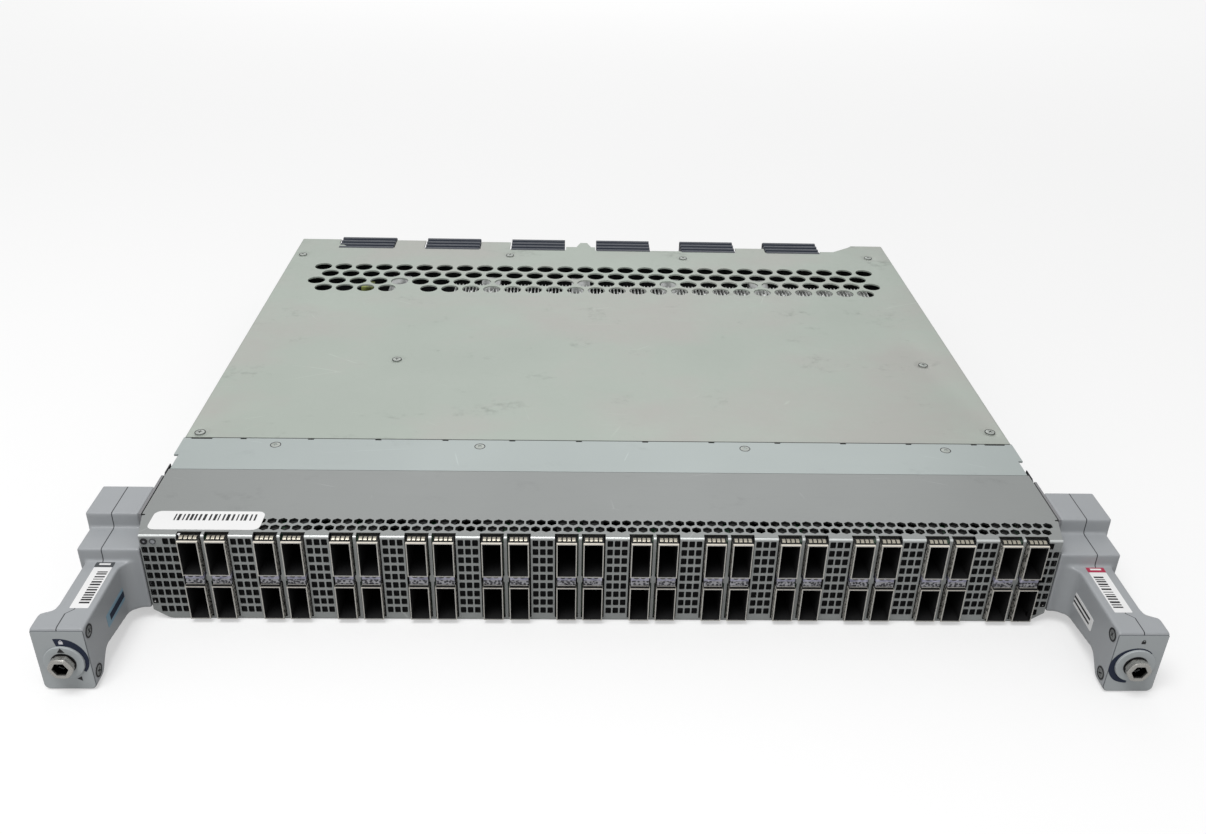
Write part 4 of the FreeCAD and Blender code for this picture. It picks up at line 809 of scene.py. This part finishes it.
# %% Lens marks and lamp bezels
def thin_plate(outline, origin, across, up, thick):
    """A flat plate: its outline is drawn with two directions from an origin; it rises along their cross."""
    outline, origin, across, up = (np.asarray(item, float) for item in (outline, origin, across, up))
    normal = np.cross(across, up)
    base = origin + outline[:, :1] * across + outline[:, 1:] * up
    count = len(base)
    step = np.arange(count)
    after = (step + 1) % count
    walls = np.column_stack([step, after, after + count, step + count])
    return (np.concatenate([base, base + normal * thick]),
            [list(range(count))[::-1], list(range(count, 2 * count))] + walls.tolist())


def turned(profile, sides=48, closed=True):
    """A (radius, height) profile carried round the z axis, outside first.

    A radius may hold one value per side.
    A closed profile joins its last loop to its first one; an open one is closed by a flat face at both ends.
    """
    angle = 2 * np.pi * np.arange(sides) / sides
    rim = np.column_stack([np.cos(angle), np.sin(angle)])
    points = np.concatenate([np.column_stack([rim * np.broadcast_to(radius, sides)[:, None],
                                              np.full(sides, height)]) for radius, height in profile])
    step = np.arange(sides)
    after = (step + 1) % sides
    count = len(profile)
    pairs = [(number, (number + 1) % count) for number in range(count if closed else count - 1)]
    faces = np.concatenate([np.column_stack([first * sides + step, first * sides + after, last * sides + after,
                                             last * sides + step]) for first, last in pairs]).tolist()
    if not closed:
        faces += [step[::-1].tolist(), (step + (count - 1) * sides).tolist()]
    return points, faces


def placed(shape, places, across, up):
    """Copies of (points, faces): local x, y and z turned to across, up and their cross product."""
    axes = np.array([across, up, np.cross(across, up)], float)
    return [(shape[0] @ axes + place, shape[1]) for place in places]


def rectangle(left, right, low, high):
    """The four corners of a rectangle, anticlockwise."""
    return [[left, low], [right, low], [right, high], [left, high]]


FRONTWARD = ((1, 0, 0), (0, 0, 1))
LYING = ((1, 0, 0), (0, 1, 0))
PRINT_THICK = 0.06
lens_low, lens_high = edges_of("light_pipes")
lens_middle = (lens_low[2] + lens_high[2]) / 2
mark = ring((0, 0), 1.0, 8, 0.2, 0.45)
marks = [thin_plate(mark * scale, (middle + along, lens_low[1] + 0.02, lens_middle + 1.75), *FRONTWARD, 0.15)
         for middle in column_middles
         for scale, along in ((1.25, -1.7), (1.1, 1.5))]
make_piece("lens_marks", *gather(marks), "card", "module_black", print_and_shade_black)
bars = [thin_plate(rectangle(-4.2, 4.2, -0.14, 0.14),
                   (middle, lens_low[1] - 0.35, lens_middle + rise), *FRONTWARD, 0.3)
        for middle in column_middles for rise in (-2.45, 2.5)]
make_piece("lens_ledges", *gather(bars), "card", "cage_steel", lip_bright)
for number, (inner, outer, finish) in enumerate(((0.55, 1.65, print_and_shade_black), (1.05, 1.45, label_grey))):
    washer = turned([(outer, 0), (outer, 0.5), (inner, 0.5), (inner, 0)], 28)
    spot = (lamp_places[number][0], FACE + 0.1, lamp_places[number][1])
    make_piece(f"lamp_bezel_{number + 1}", *gather(placed(washer, [spot], *FRONTWARD)), "card", "lamp_ring",
               finish)

# %% [markdown]
# ## Dials
# Each lock turns inside a printed arc on the handle's head. The spindle and the dial plate are
# turned parts: one profile of (radius, height) points carried round the axis. The spindle's
# socket is a hexagon, so its radius changes with the angle. The arc's width follows a short list.


# %% Heads, dials, arcs and signs
def hexagon(reach, sides=48):
    """The radius of a hexagon at every side's angle: its flats' distance over the cosine from their middle."""
    wedge = (2 * np.pi * np.arange(sides) / sides) % (np.pi / 3) - np.pi / 6
    return reach * np.cos(np.pi / 6) / np.cos(wedge)


def printed_arc(centre, start, sweep, inner, widths, front):
    """A printed arc from a start angle through a sweep (degrees, anticlockwise seen from the front): its
    width follows the listed widths, spread evenly along the sweep."""
    share = np.linspace(0, 1, 40)
    angle = np.radians(start + share * sweep)
    reach = inner + np.interp(share, np.linspace(0, 1, len(widths)), widths)
    rim = np.column_stack([np.cos(angle), np.sin(angle)])
    line = np.concatenate([rim * reach[:, None], (rim * inner)[::-1]])
    return thin_plate(line if sweep > 0 else line[::-1], (centre[0], front, centre[1]), *FRONTWARD,
                      PRINT_THICK)


def padlock(x, z, scale, front):
    """A plain padlock sign: a block with a bow of six small bars above it."""
    spot = (x, front, z)
    body = thin_plate(np.array(rectangle(-1, 1, -1.1, 0.4)) * scale, spot, *FRONTWARD, PRINT_THICK)
    turn = np.linspace(0, np.pi, 7)
    outer = np.column_stack([0.75 * np.cos(turn), 0.45 + 0.85 * np.sin(turn)]) * scale
    inner = np.column_stack([0.42 * np.cos(turn), 0.45 + 0.50 * np.sin(turn)]) * scale
    bow_bars = [thin_plate([outer[step], outer[step + 1], inner[step + 1], inner[step]], spot, *FRONTWARD,
                           PRINT_THICK) for step in range(6)]
    return gather([body] + bow_bars)


def eased_plate(left, low, right, high, upper, lower):
    """An upright outline with quarter rounds: upper at both top corners, lower at both bottom ones."""
    corners = [(right - lower, low + lower, lower, 270), (right - upper, high - upper, upper, 0),
               (left + upper, high - upper, upper, 90), (left + lower, low + lower, lower, 180)]
    quarter = np.radians(np.linspace(0, 90, 6))
    return np.concatenate([np.column_stack([x + radius * np.cos(quarter + math.radians(turn)),
                                            z + radius * np.sin(quarter + math.radians(turn))])
                           for x, z, radius, turn in corners])


# Distances in front of the card's origin: the spindle's tip, and its collar's front and back.
TIP, COLLAR_FRONT, COLLAR_BACK = 221.7, 219.5, 217.0
SHANK, SOCKET_CORNER, SOCKET_DEEP = 3.1, 3.67, 5
DIAL_RADIUS, DIAL_HOLE, ARC_INNER = 8.7, 3.2, 8.8
HEAD_INNER, HEAD_OUTER = 224.2, 247.2
for side, sign in (("left", -1), ("right", 1)):
    spindle_low, spindle_high = edges_of(f"{side}_spindle")
    axis = ((spindle_low[0] + spindle_high[0]) / 2, (spindle_low[2] + spindle_high[2]) / 2)
    on_axis = (axis[0], 0, axis[1])
    socket = hexagon(SOCKET_CORNER)
    nut = 0.5 * (hexagon(5.9) + 5.35)
    shank = turned([(SHANK, -spindle_high[1]), (SHANK, COLLAR_BACK), (nut - 0.7, COLLAR_BACK),
                    (nut - 0.7, COLLAR_FRONT), (nut, 219.9), (nut, TIP - 0.4), (nut - 0.35, TIP),
                    (socket, TIP), (socket, TIP - SOCKET_DEEP)], closed=False)
    spindle = make_piece(f"{side}_drive_spindle", *gather(placed(shank, [on_axis], *FRONTWARD)), f"{side}_lock",
                         "spindle_steel", spindle_steel, smooth=30)
    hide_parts(f"{side}_spindle")
    dial_low, dial_high = edges_of(f"{side}_dial")
    back, dial_front = -dial_high[1], -dial_low[1] + 0.2
    disc = turned([(DIAL_RADIUS, back), (DIAL_RADIUS, dial_front - 0.2), (8.5, dial_front),
                   (DIAL_HOLE, dial_front), (DIAL_HOLE, back)])
    plate = make_piece(f"{side}_dial_plate", *gather(placed(disc, [on_axis], *FRONTWARD)), f"{side}_lock",
                       "dial_face", dial_face, smooth=30)
    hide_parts(f"{side}_dial")
    head_face = edges_of(f"{side}_handle_inner")[0][1] - 0.25
    line = eased_plate(*((HEAD_INNER + 0.45, 0.95, HEAD_OUTER - 0.45, 32.85) if sign > 0 else
                         (0.45 - HEAD_OUTER, 0.95, -HEAD_INNER - 0.45, 32.85)), 0.5, 2.6)
    middle, reach = (line.max(axis=0) + line.min(axis=0)) / 2, np.ptp(line, axis=0)
    outline = (line - middle) * (reach + 0.4) / reach + middle
    # A slightly larger dark plate just behind the head plate shows as a thin border round it: a painted shadow
    # line at the raised plate's edge.
    make_piece(f"{side}_head_shadow_line", *thin_plate(outline, (0, head_face + 0.9, 0), *FRONTWARD, 0.75), "card",
               "handle_plastic", head_shadow_grey)
    make_piece(f"{side}_head_plate", *thin_plate(line, (0, head_face + 0.8, 0), *FRONTWARD, 0.8), "card",
               "handle_plastic", head_plastic)
    # A black ring on the dial round the nut: painted shade in the recess round the spindle.
    recess_shade = turned([(5.5, dial_front), (5.5, dial_front + PRINT_THICK), (DIAL_HOLE, dial_front + PRINT_THICK),
                     (DIAL_HOLE, dial_front)], 36)
    make_piece(f"{side}_recess", *gather(placed(recess_shade, [on_axis], *FRONTWARD)), f"{side}_lock", "dial_face",
               print_and_shade_black)
    pointer = np.array([[-1.65, 5.9], [1.65, 5.9], [0, 8.4]])
    if sign < 0:
        arc = printed_arc(axis, 102, -137, ARC_INNER, (4.1, 3.6, 2.6, 1.8, 1.2), head_face)
        corner = ring((0, 0), 1, 3, np.radians(-60)) * 1.5 + [5.0, -9.6]
        make_piece("left_low_pointer", *thin_plate(corner, (axis[0], head_face, axis[1]), *FRONTWARD, PRINT_THICK),
                   "card", "handle_plastic", print_and_shade_black)
        make_piece("left_padlock", *padlock(axis[0] + 0.5, axis[1] + 10.8, 0.9, head_face - 0.07), "card",
                   "handle_plastic", print_white)
    else:
        arc = printed_arc(axis, 45, 217, ARC_INNER, (0.3, 0.6, 0.8, 1.5, 2.3, 2.75, 2.7, 1.8), head_face)
        lean = math.radians(-150)
        pointer = pointer @ np.array([[math.cos(lean), math.sin(lean)], [-math.sin(lean), math.cos(lean)]])
        make_piece("right_padlock", *padlock(axis[0] + 0.9, 29.3, 0.95, head_face), "card", "handle_plastic",
                   print_and_shade_black)
    make_piece(f"{side}_arc", *arc, "card", "handle_plastic", print_navy)
    make_piece(f"{side}_pointer", *thin_plate(pointer, (axis[0], -dial_front, axis[1]), *FRONTWARD, 0.05),
               f"{side}_lock", "dial_face", print_and_shade_black)

# %% [markdown]
# ## Screws
# A screw head is a flat round blank with a cross cut out of it, domed as it is folded. A dark
# plate closes the cross from below, and a thin dark ring lies round each head: both are painted
# shade, in the cross recess and in the gap round the head. The same two shapes serve all heads,
# turned and moved.


# %% Screw heads
def cross_outline(reach, half):
    """The twelve corners of a plain cross, anticlockwise."""
    quarter_turn = np.array([[0, 1], [-1, 0]])
    parts = [np.array([[reach, -half], [reach, half], [half, half]])]
    for _ in range(3):
        parts.append(parts[-1] @ quarter_turn)
    return np.concatenate(parts)


def domed(radius, height):
    """A fold for round blanks: the rim lies low, the middle is height above it."""
    def fold(flat, depth):
        share = np.clip(np.linalg.norm(flat, axis=1) / radius, 0, 1)
        return np.column_stack([flat, height * (1 - share ** 3) - depth])
    return fold


def screw_shapes(radius, height, cross):
    """A domed head with a cross cut through it, and the dark plate of painted shade that closes the cross."""
    blank = blank_of(ring((0, 0), radius, 24), [cross_outline(cross, cross * 0.24)])
    head = folded_sheet(blank, domed(radius, height), 0.5)
    cross_shade_outline = cross_outline(cross * 1.05, cross * 0.30)
    cross_shade_plate = thin_plate(cross_shade_outline, (0, 0, height - 0.62), *LYING, 0.1)
    return head, cross_shade_plate


def swirl(places, seed):
    """A turn for each place so that no two crosses stand alike."""
    return np.random.default_rng(seed).uniform(0, 90, len(places))


cover_heads, cover_shade_parts, handle_heads, handle_shade_parts = [], [], [], []
HEAD_RADIUS, GAP_RADIUS, GAP_RISE = 2.45, 2.85, 0.04
head, cross_shade_plate = screw_shapes(HEAD_RADIUS, 0.38, 1.25)
# A thin black ring round each head: painted shadow in the gap round it.
rim_shade_ring = turned([(GAP_RADIUS, 0.0), (GAP_RADIUS, GAP_RISE), (HEAD_RADIUS, GAP_RISE), (HEAD_RADIUS, 0.0)], 24)
all_screws = np.concatenate([SCREWS, STRIP_SCREWS])
for (x, y), turn in zip(all_screws, np.radians(swirl(all_screws, 4))):
    way, side_way = (math.cos(turn), math.sin(turn), 0), (-math.sin(turn), math.cos(turn), 0)
    cover_heads += placed(head, [(x, y, TOP - 0.02)], way, side_way)
    cover_shade_parts += placed(cross_shade_plate, [(x, y, TOP - 0.02)], way, side_way)
    cover_shade_parts += placed(rim_shade_ring, [(x, y, TOP)], way, side_way)
screws = make_piece("cover_screw_heads", *gather(cover_heads), "card", "hardware_steel", hardware_steel, smooth=30)
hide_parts("cover_screws")
make_piece("cover_screw_shade", *gather(cover_shade_parts), "card", "hardware_steel", print_and_shade_black)

screw_low, screw_high = edges_of("handle_screws")
head, cross_shade_plate = screw_shapes(2.35, 0.3, 1.6)
# A thin black ring round each head: painted shade in the recess round it.
rim_shade_ring = turned([(3.15, 0.0), (3.15, 0.1), (2.4, 0.1), (2.4, 0.0)], 24)
for sign, plane in ((-1, screw_low[0]), (1, screw_high[0])):
    inward = -sign
    plane = sign * (abs(plane) - 1.42)
    for z, turn in ((29.5, 0.4), (7.2, 1.0)):
        way = (0, math.cos(turn), math.sin(turn))
        side_way = (0, -inward * math.sin(turn), inward * math.cos(turn))
        spot = (plane, (screw_low[1] + screw_high[1]) / 2, z)
        handle_heads += placed(head, [spot], way, side_way)
        handle_shade_parts += placed(cross_shade_plate, [spot], way, side_way) + placed(rim_shade_ring, [spot], way, side_way)
heads = make_piece("handle_screw_heads", *gather(handle_heads), "card", "hardware_steel", darker_steel, smooth=30)
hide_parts("handle_screws")
make_piece("handle_screw_shade", *gather(handle_shade_parts), "card", "hardware_steel", print_and_shade_black)

# %% [markdown]
# ## Stickers
# The stickers are blank: a rounded plate a tenth of a millimetre thick on the surface it sticks
# to. The printed lines of a real card are left out.


# %% Blank stickers
def sticker(name, middle, across, up, wide, tall, ease, material, slot="label_paper"):
    """A rounded blank plate round a middle point, along two directions."""
    line = np.concatenate([ring((sx * (wide / 2 - ease), sz * (tall / 2 - ease)), ease, 24)[start:start + 7]
                           for sx, sz, start in ((1, 1, 0), (-1, 1, 6), (-1, -1, 12))]
                          + [ring((wide / 2 - ease, ease - tall / 2), ease, 24)[[18, 19, 20, 21, 22, 23, 0]]])
    return make_piece(name, *thin_plate(line, middle, across, up, 0.1), "card", slot, material)


def plain_bars(name, middle, across, up, wide, tall, count, seed, material=print_and_shade_black):
    """Plain bars of uneven width side by side within a field of wide by tall; they spell nothing."""
    shares = np.random.default_rng(seed).uniform(0.4, 1.0, 2 * count - 1)
    ends = np.concatenate([[0], np.cumsum(shares)]) / shares.sum() * wide - wide / 2
    rise = np.array(middle) + 0.1 * np.cross(across, up)
    bars = [thin_plate(rectangle(left, right, -tall / 2, tall / 2), rise, across, up, 0.02)
            for left, right in zip(ends[:-1:2], ends[1::2])]
    return make_piece(name, *gather(bars), "card", "handle_plastic", material)


ARM_MIDDLE, ARM_TOP = 231.6, 34.3
sticker("flange_sticker", (-186.6, FACE + 12.1, TOP), *LYING, 51.8, 15.0, 3.4, label_white, "faceplate_steel")
plain_bars("flange_bars", (-183.2, FACE + 14.6, TOP), *LYING, 38.0, 5.2, 19, 3)
for side, sign in (("left", -1), ("right", 1)):
    arm_x = sign * ARM_MIDDLE + 0.5
    sticker(f"{side}_arm_sticker", (arm_x, FACE - 19.6, ARM_TOP), *LYING, 8.2, 29.4, 0.5, label_white,
            "handle_plastic")
    plain_bars(f"{side}_arm_bars", (arm_x - sign * 1.0, FACE - 19.6, ARM_TOP), (0, 1, 0), (-1, 0, 0),
               23.0, 4.6, 13, 5 + sign)
    sticker(f"{side}_arm_tag", (arm_x, FACE - 2.6, ARM_TOP), *LYING, 8.6, 4.4, 0.5,
            label_grey if sign < 0 else label_red, "handle_plastic")
    plain_bars(f"{side}_tag_bar", (arm_x, FACE - 2.6, ARM_TOP), *LYING, 5.2, 1.2, 1, 1, label_white)
    inner_side = sign * HEAD_INNER
    sticker(f"{side}_side_sticker", (inner_side, FACE - 13.5, 20.0), (0, -sign, 0), (0, 0, 1), 26.0, 6.8, 0.8,
            label_blue if sign < 0 else label_white, "handle_plastic")
    plain_bars(f"{side}_side_bars", (inner_side, FACE - 13.5, 20.0), (0, 0, 1), (0, sign, 0),
               *((3.4, 19.0, 1) if sign < 0 else (3.6, 20.0, 2)), 7, print_navy if sign < 0 else print_and_shade_black)

# %% [markdown]
# ## Inside, seen through the vents
# Behind the connectors' sides the case is closed by dark panels, whose black is painted shade inside
# the case, seen through the vents. Small parts on the board show through the hexagons and the large
# vents.


# %% Inside parts
def upright(left, right, low, high, front, thick):
    """A plain upright panel across the card."""
    return thin_plate(rectangle(left, right, low, high), (0, front + thick, 0), *FRONTWARD, thick)


# A closing panel, black as painted shade inside the case behind the vents.
rear_wall = upright(1.4 - CARD_HALF, CARD_HALF - 1.4, 1.2, 46.2, plug_boxes[0][0][1] - 2.5, 1.2)
make_piece("rear_wall", *rear_wall, "card", "module_black", module_black)

# %% [markdown]
# Behind the grille, black foam baffles fill the gaps between the cages, so that little light
# falls through the small holes; their black is painted shade behind the grille. A strip of the same
# foam closes the seam between strip and cover, as painted shade in the seam gap.

# %% Foam baffles and seam foam, black as painted shade
foam_edges = [edge for low, high in cage_boxes for edge in (low[0] - 0.3, high[0] + 0.3)]
baffles = [upright(left, right, 1.1, 47.9, FACE + 1.3, 0.8)
           for left, right in zip(foam_edges[1:-1:2], foam_edges[2::2])]
end_foam = [[foam_edges[-1], 1.1], [BEZEL_HALF - 8.4, 1.1], [BEZEL_HALF - 1.1, 6.6], [BEZEL_HALF - 1.1, 47.9],
            [foam_edges[-1], 47.9]]
baffles.append(thin_plate(end_foam, (0, FACE + 2.1, 0), *FRONTWARD, 0.8))
start_foam = [[foam_edges[0], 47.9], [1.1 - BEZEL_HALF, 47.9], [1.1 - BEZEL_HALF, 6.6], [8.4 - BEZEL_HALF, 1.1],
              [foam_edges[0], 1.1]]
baffles.append(thin_plate(start_foam, (0, FACE + 2.1, 0), *FRONTWARD, 0.8))
baffles.append(upright(-216.5, 216.5, 47.1, 48.6, strip_high[1] - 1.9, 2.6))
make_piece("foam_shade_baffles", *gather(baffles), "card", "module_black", foam_shade_black)

# %% [markdown]
# The air leaves the heat sinks through a comb of thin fins that stand under the front row of
# large vents. Small parts on the board show between them.

# %% Fin comb
comb = [thin_plate(rectangle(125.0, 140.5, 30.0, 45.6), (x, 0, 0), (0, 1, 0), (0, 0, 1), 0.5)
        for x in np.arange(-98.0, 192.0, 2.4)]
make_piece("fin_comb", *gather(comb), "card", "fin_aluminium", fin_aluminium)
small_part = thin_plate(rectangle(-163.5, -155.5, 136.0, 146.0), (0, 0, 38.0), *LYING, 6.0)
make_piece("olive_module", *small_part, "card", "module_black", lamp_olive)

# %% [markdown]
# ## Connector tops
# The housings' tops are moulded with lengthwise ribs that stand level with the cover. One ribbed
# section, (y, z) points that go up and down over each rib, is carried across the connector.


# %% Ribbed tops
def ribbed_section(front, rear, ribs, crest, valley):
    """The closed section of a ribbed slab: its top climbs from valley to crest and back over each rib."""
    pitch = (rear - front) / ribs
    share = np.array([0.0, 0.06, 0.52, 0.58])
    rise = np.array([valley, crest, crest, valley])
    y = (front + (np.arange(ribs)[:, None] + share) * pitch).ravel()
    z = np.tile(rise, ribs)
    return np.concatenate([[[front, valley - 1.6]], np.column_stack([y, z]),
                           [[rear, valley], [rear, valley - 1.6]]])


def extruded(section, left, right):
    """A closed (y, z) section carried from left to right."""
    count = len(section)
    points = np.concatenate([np.column_stack([np.full(count, x), section]) for x in (left, right)])
    step = np.arange(count)
    after = (step + 1) % count
    sides = np.column_stack([step, step + count, after + count, after])
    return points, sides.tolist() + [list(range(count)), list(range(count, 2 * count))[::-1]]


tops = []
for low, high in plug_boxes:
    section = ribbed_section(low[1] + 14.5, high[1], 4, TOP + 0.25, TOP - 1.2)
    tops.append(extruded(section, low[0], high[0]))
make_piece("connector_ribs", *gather(tops), "card", "connector_navy", connector_rib)
# Thin light strips on each rib: painted highlights on the ribs' edges.
lines = []
for low, high in plug_boxes:
    pitch = (high[1] - low[1] - 14.5) / 4
    lines += [thin_plate(rectangle(low[0] + 0.3, high[0] - 0.3, -0.22, 0.22),
                         (0, low[1] + 14.5 + (number + 0.48) * pitch, TOP + 0.25), (1, 0, 0), (0, 1, 0), 0.05)
              for number in range(4)]
make_piece("rib_highlights", *gather(lines), "card", "connector_navy", rib_highlight)

# %% [markdown]
# ## Stage, light and camera
# The floor is plain and pale, and the world is plain soft light. Lamps only add a little shape.

# %% Stage
floor_material, floor_tree, floor_shader, floor_place = start_finish("floor_pale", 0.0, 0.0)
floor_shader.inputs["Roughness"].default_value = 1.0
floor_tree.links.new(shades(floor_tree, floor_place, (0.50, 0.50, 0.50), 0.005, 2.0),
                     floor_shader.inputs["Base Color"])
floor_rays = floor_tree.nodes.new("ShaderNodeLightPath")
floor_shader.inputs["Emission Color"].default_value = (1, 1, 1, 1)
far = add_node(floor_tree, "VectorMath", {"operation": "LENGTH"}, Vector=floor_place).outputs["Value"]
floor_tree.links.new(math_node(floor_tree, "MULTIPLY", floor_rays.outputs["Is Camera Ray"],
                               between(floor_tree, far, 0.3, 3.3, 0.475, 0.76)),
                     floor_shader.inputs["Emission Strength"])
floor_mesh = bpy.data.meshes.new("floor")
floor_mesh.from_pydata([(-9, -9, 0), (9, -9, 0), (9, 9, 0), (-9, 9, 0)], [], [(0, 1, 2, 3)])
floor_mesh.materials.append(floor_material)
floor = bpy.data.objects.new("floor", floor_mesh)
bpy.context.scene.collection.objects.link(floor)
floor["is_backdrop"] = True

world = bpy.data.worlds.new("studio")
bpy.context.scene.world = world
world.use_nodes = True
sky = world.node_tree
background = sky.nodes["Background"]
rays = sky.nodes.new("ShaderNodeLightPath")
seen = math_node(sky, "MAXIMUM", rays.outputs["Is Camera Ray"], rays.outputs["Is Transmission Ray"])
sky.links.new(between(sky, seen, 0.0, 1.0, 0.5, 0.985), background.inputs["Strength"])
background.inputs["Color"].default_value = (1, 1, 1, 1)
bpy.context.scene.view_settings.view_transform = "Standard"


def soft_lamp(name, place, aim, size, power):
    """A square lamp of the given size in metres that looks from place towards aim."""
    light = bpy.data.lights.new(name, "AREA")
    light.size = size
    light.energy = power
    lamp = bpy.data.objects.new(name, light)
    lamp.location = place
    lamp.rotation_euler = (Vector(aim) - Vector(place)).to_track_quat("-Z", "Y").to_euler()
    bpy.context.scene.collection.objects.link(lamp)


soft_lamp("key_lamp", (-0.25, -0.55, 1.25), (0, 0, 0), 0.6, 11.0)
soft_lamp("back_lamp", (0.0, 1.55, 0.85), (0, 0.05, 0), 1.6, 3.4)

# %% Camera
PITCH, YAW, ROLL = (math.radians(angle) for angle in (29.380, -1.918, -1.475))
forward = np.array([-math.sin(YAW) * math.cos(PITCH), math.cos(YAW) * math.cos(PITCH), -math.sin(PITCH)])
level = np.array([math.cos(YAW), math.sin(YAW), 0.0])
down = np.cross(forward, level)
right_way = math.cos(ROLL) * level + math.sin(ROLL) * down
down_way = -math.sin(ROLL) * level + math.cos(ROLL) * down
camera_data = bpy.data.cameras.new("camera")
camera_data.sensor_fit = "HORIZONTAL"
camera_data.sensor_width = 36.0
camera_data.lens = 33.571
camera_data.clip_start = 0.01
camera = bpy.data.objects.new("camera", camera_data)
turn = Matrix(np.column_stack([right_way, -down_way, -forward]).tolist()).to_4x4()
camera.matrix_world = Matrix.Translation((-0.01719, -0.59405, 0.35332)) @ turn
bpy.context.scene.collection.objects.link(camera)
bpy.context.scene.camera = camera
print("camera at", tuple(round(value, 4) for value in camera.matrix_world.translation))

# %% Finish
low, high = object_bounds()
print("pieces made:", len(pieces_made))
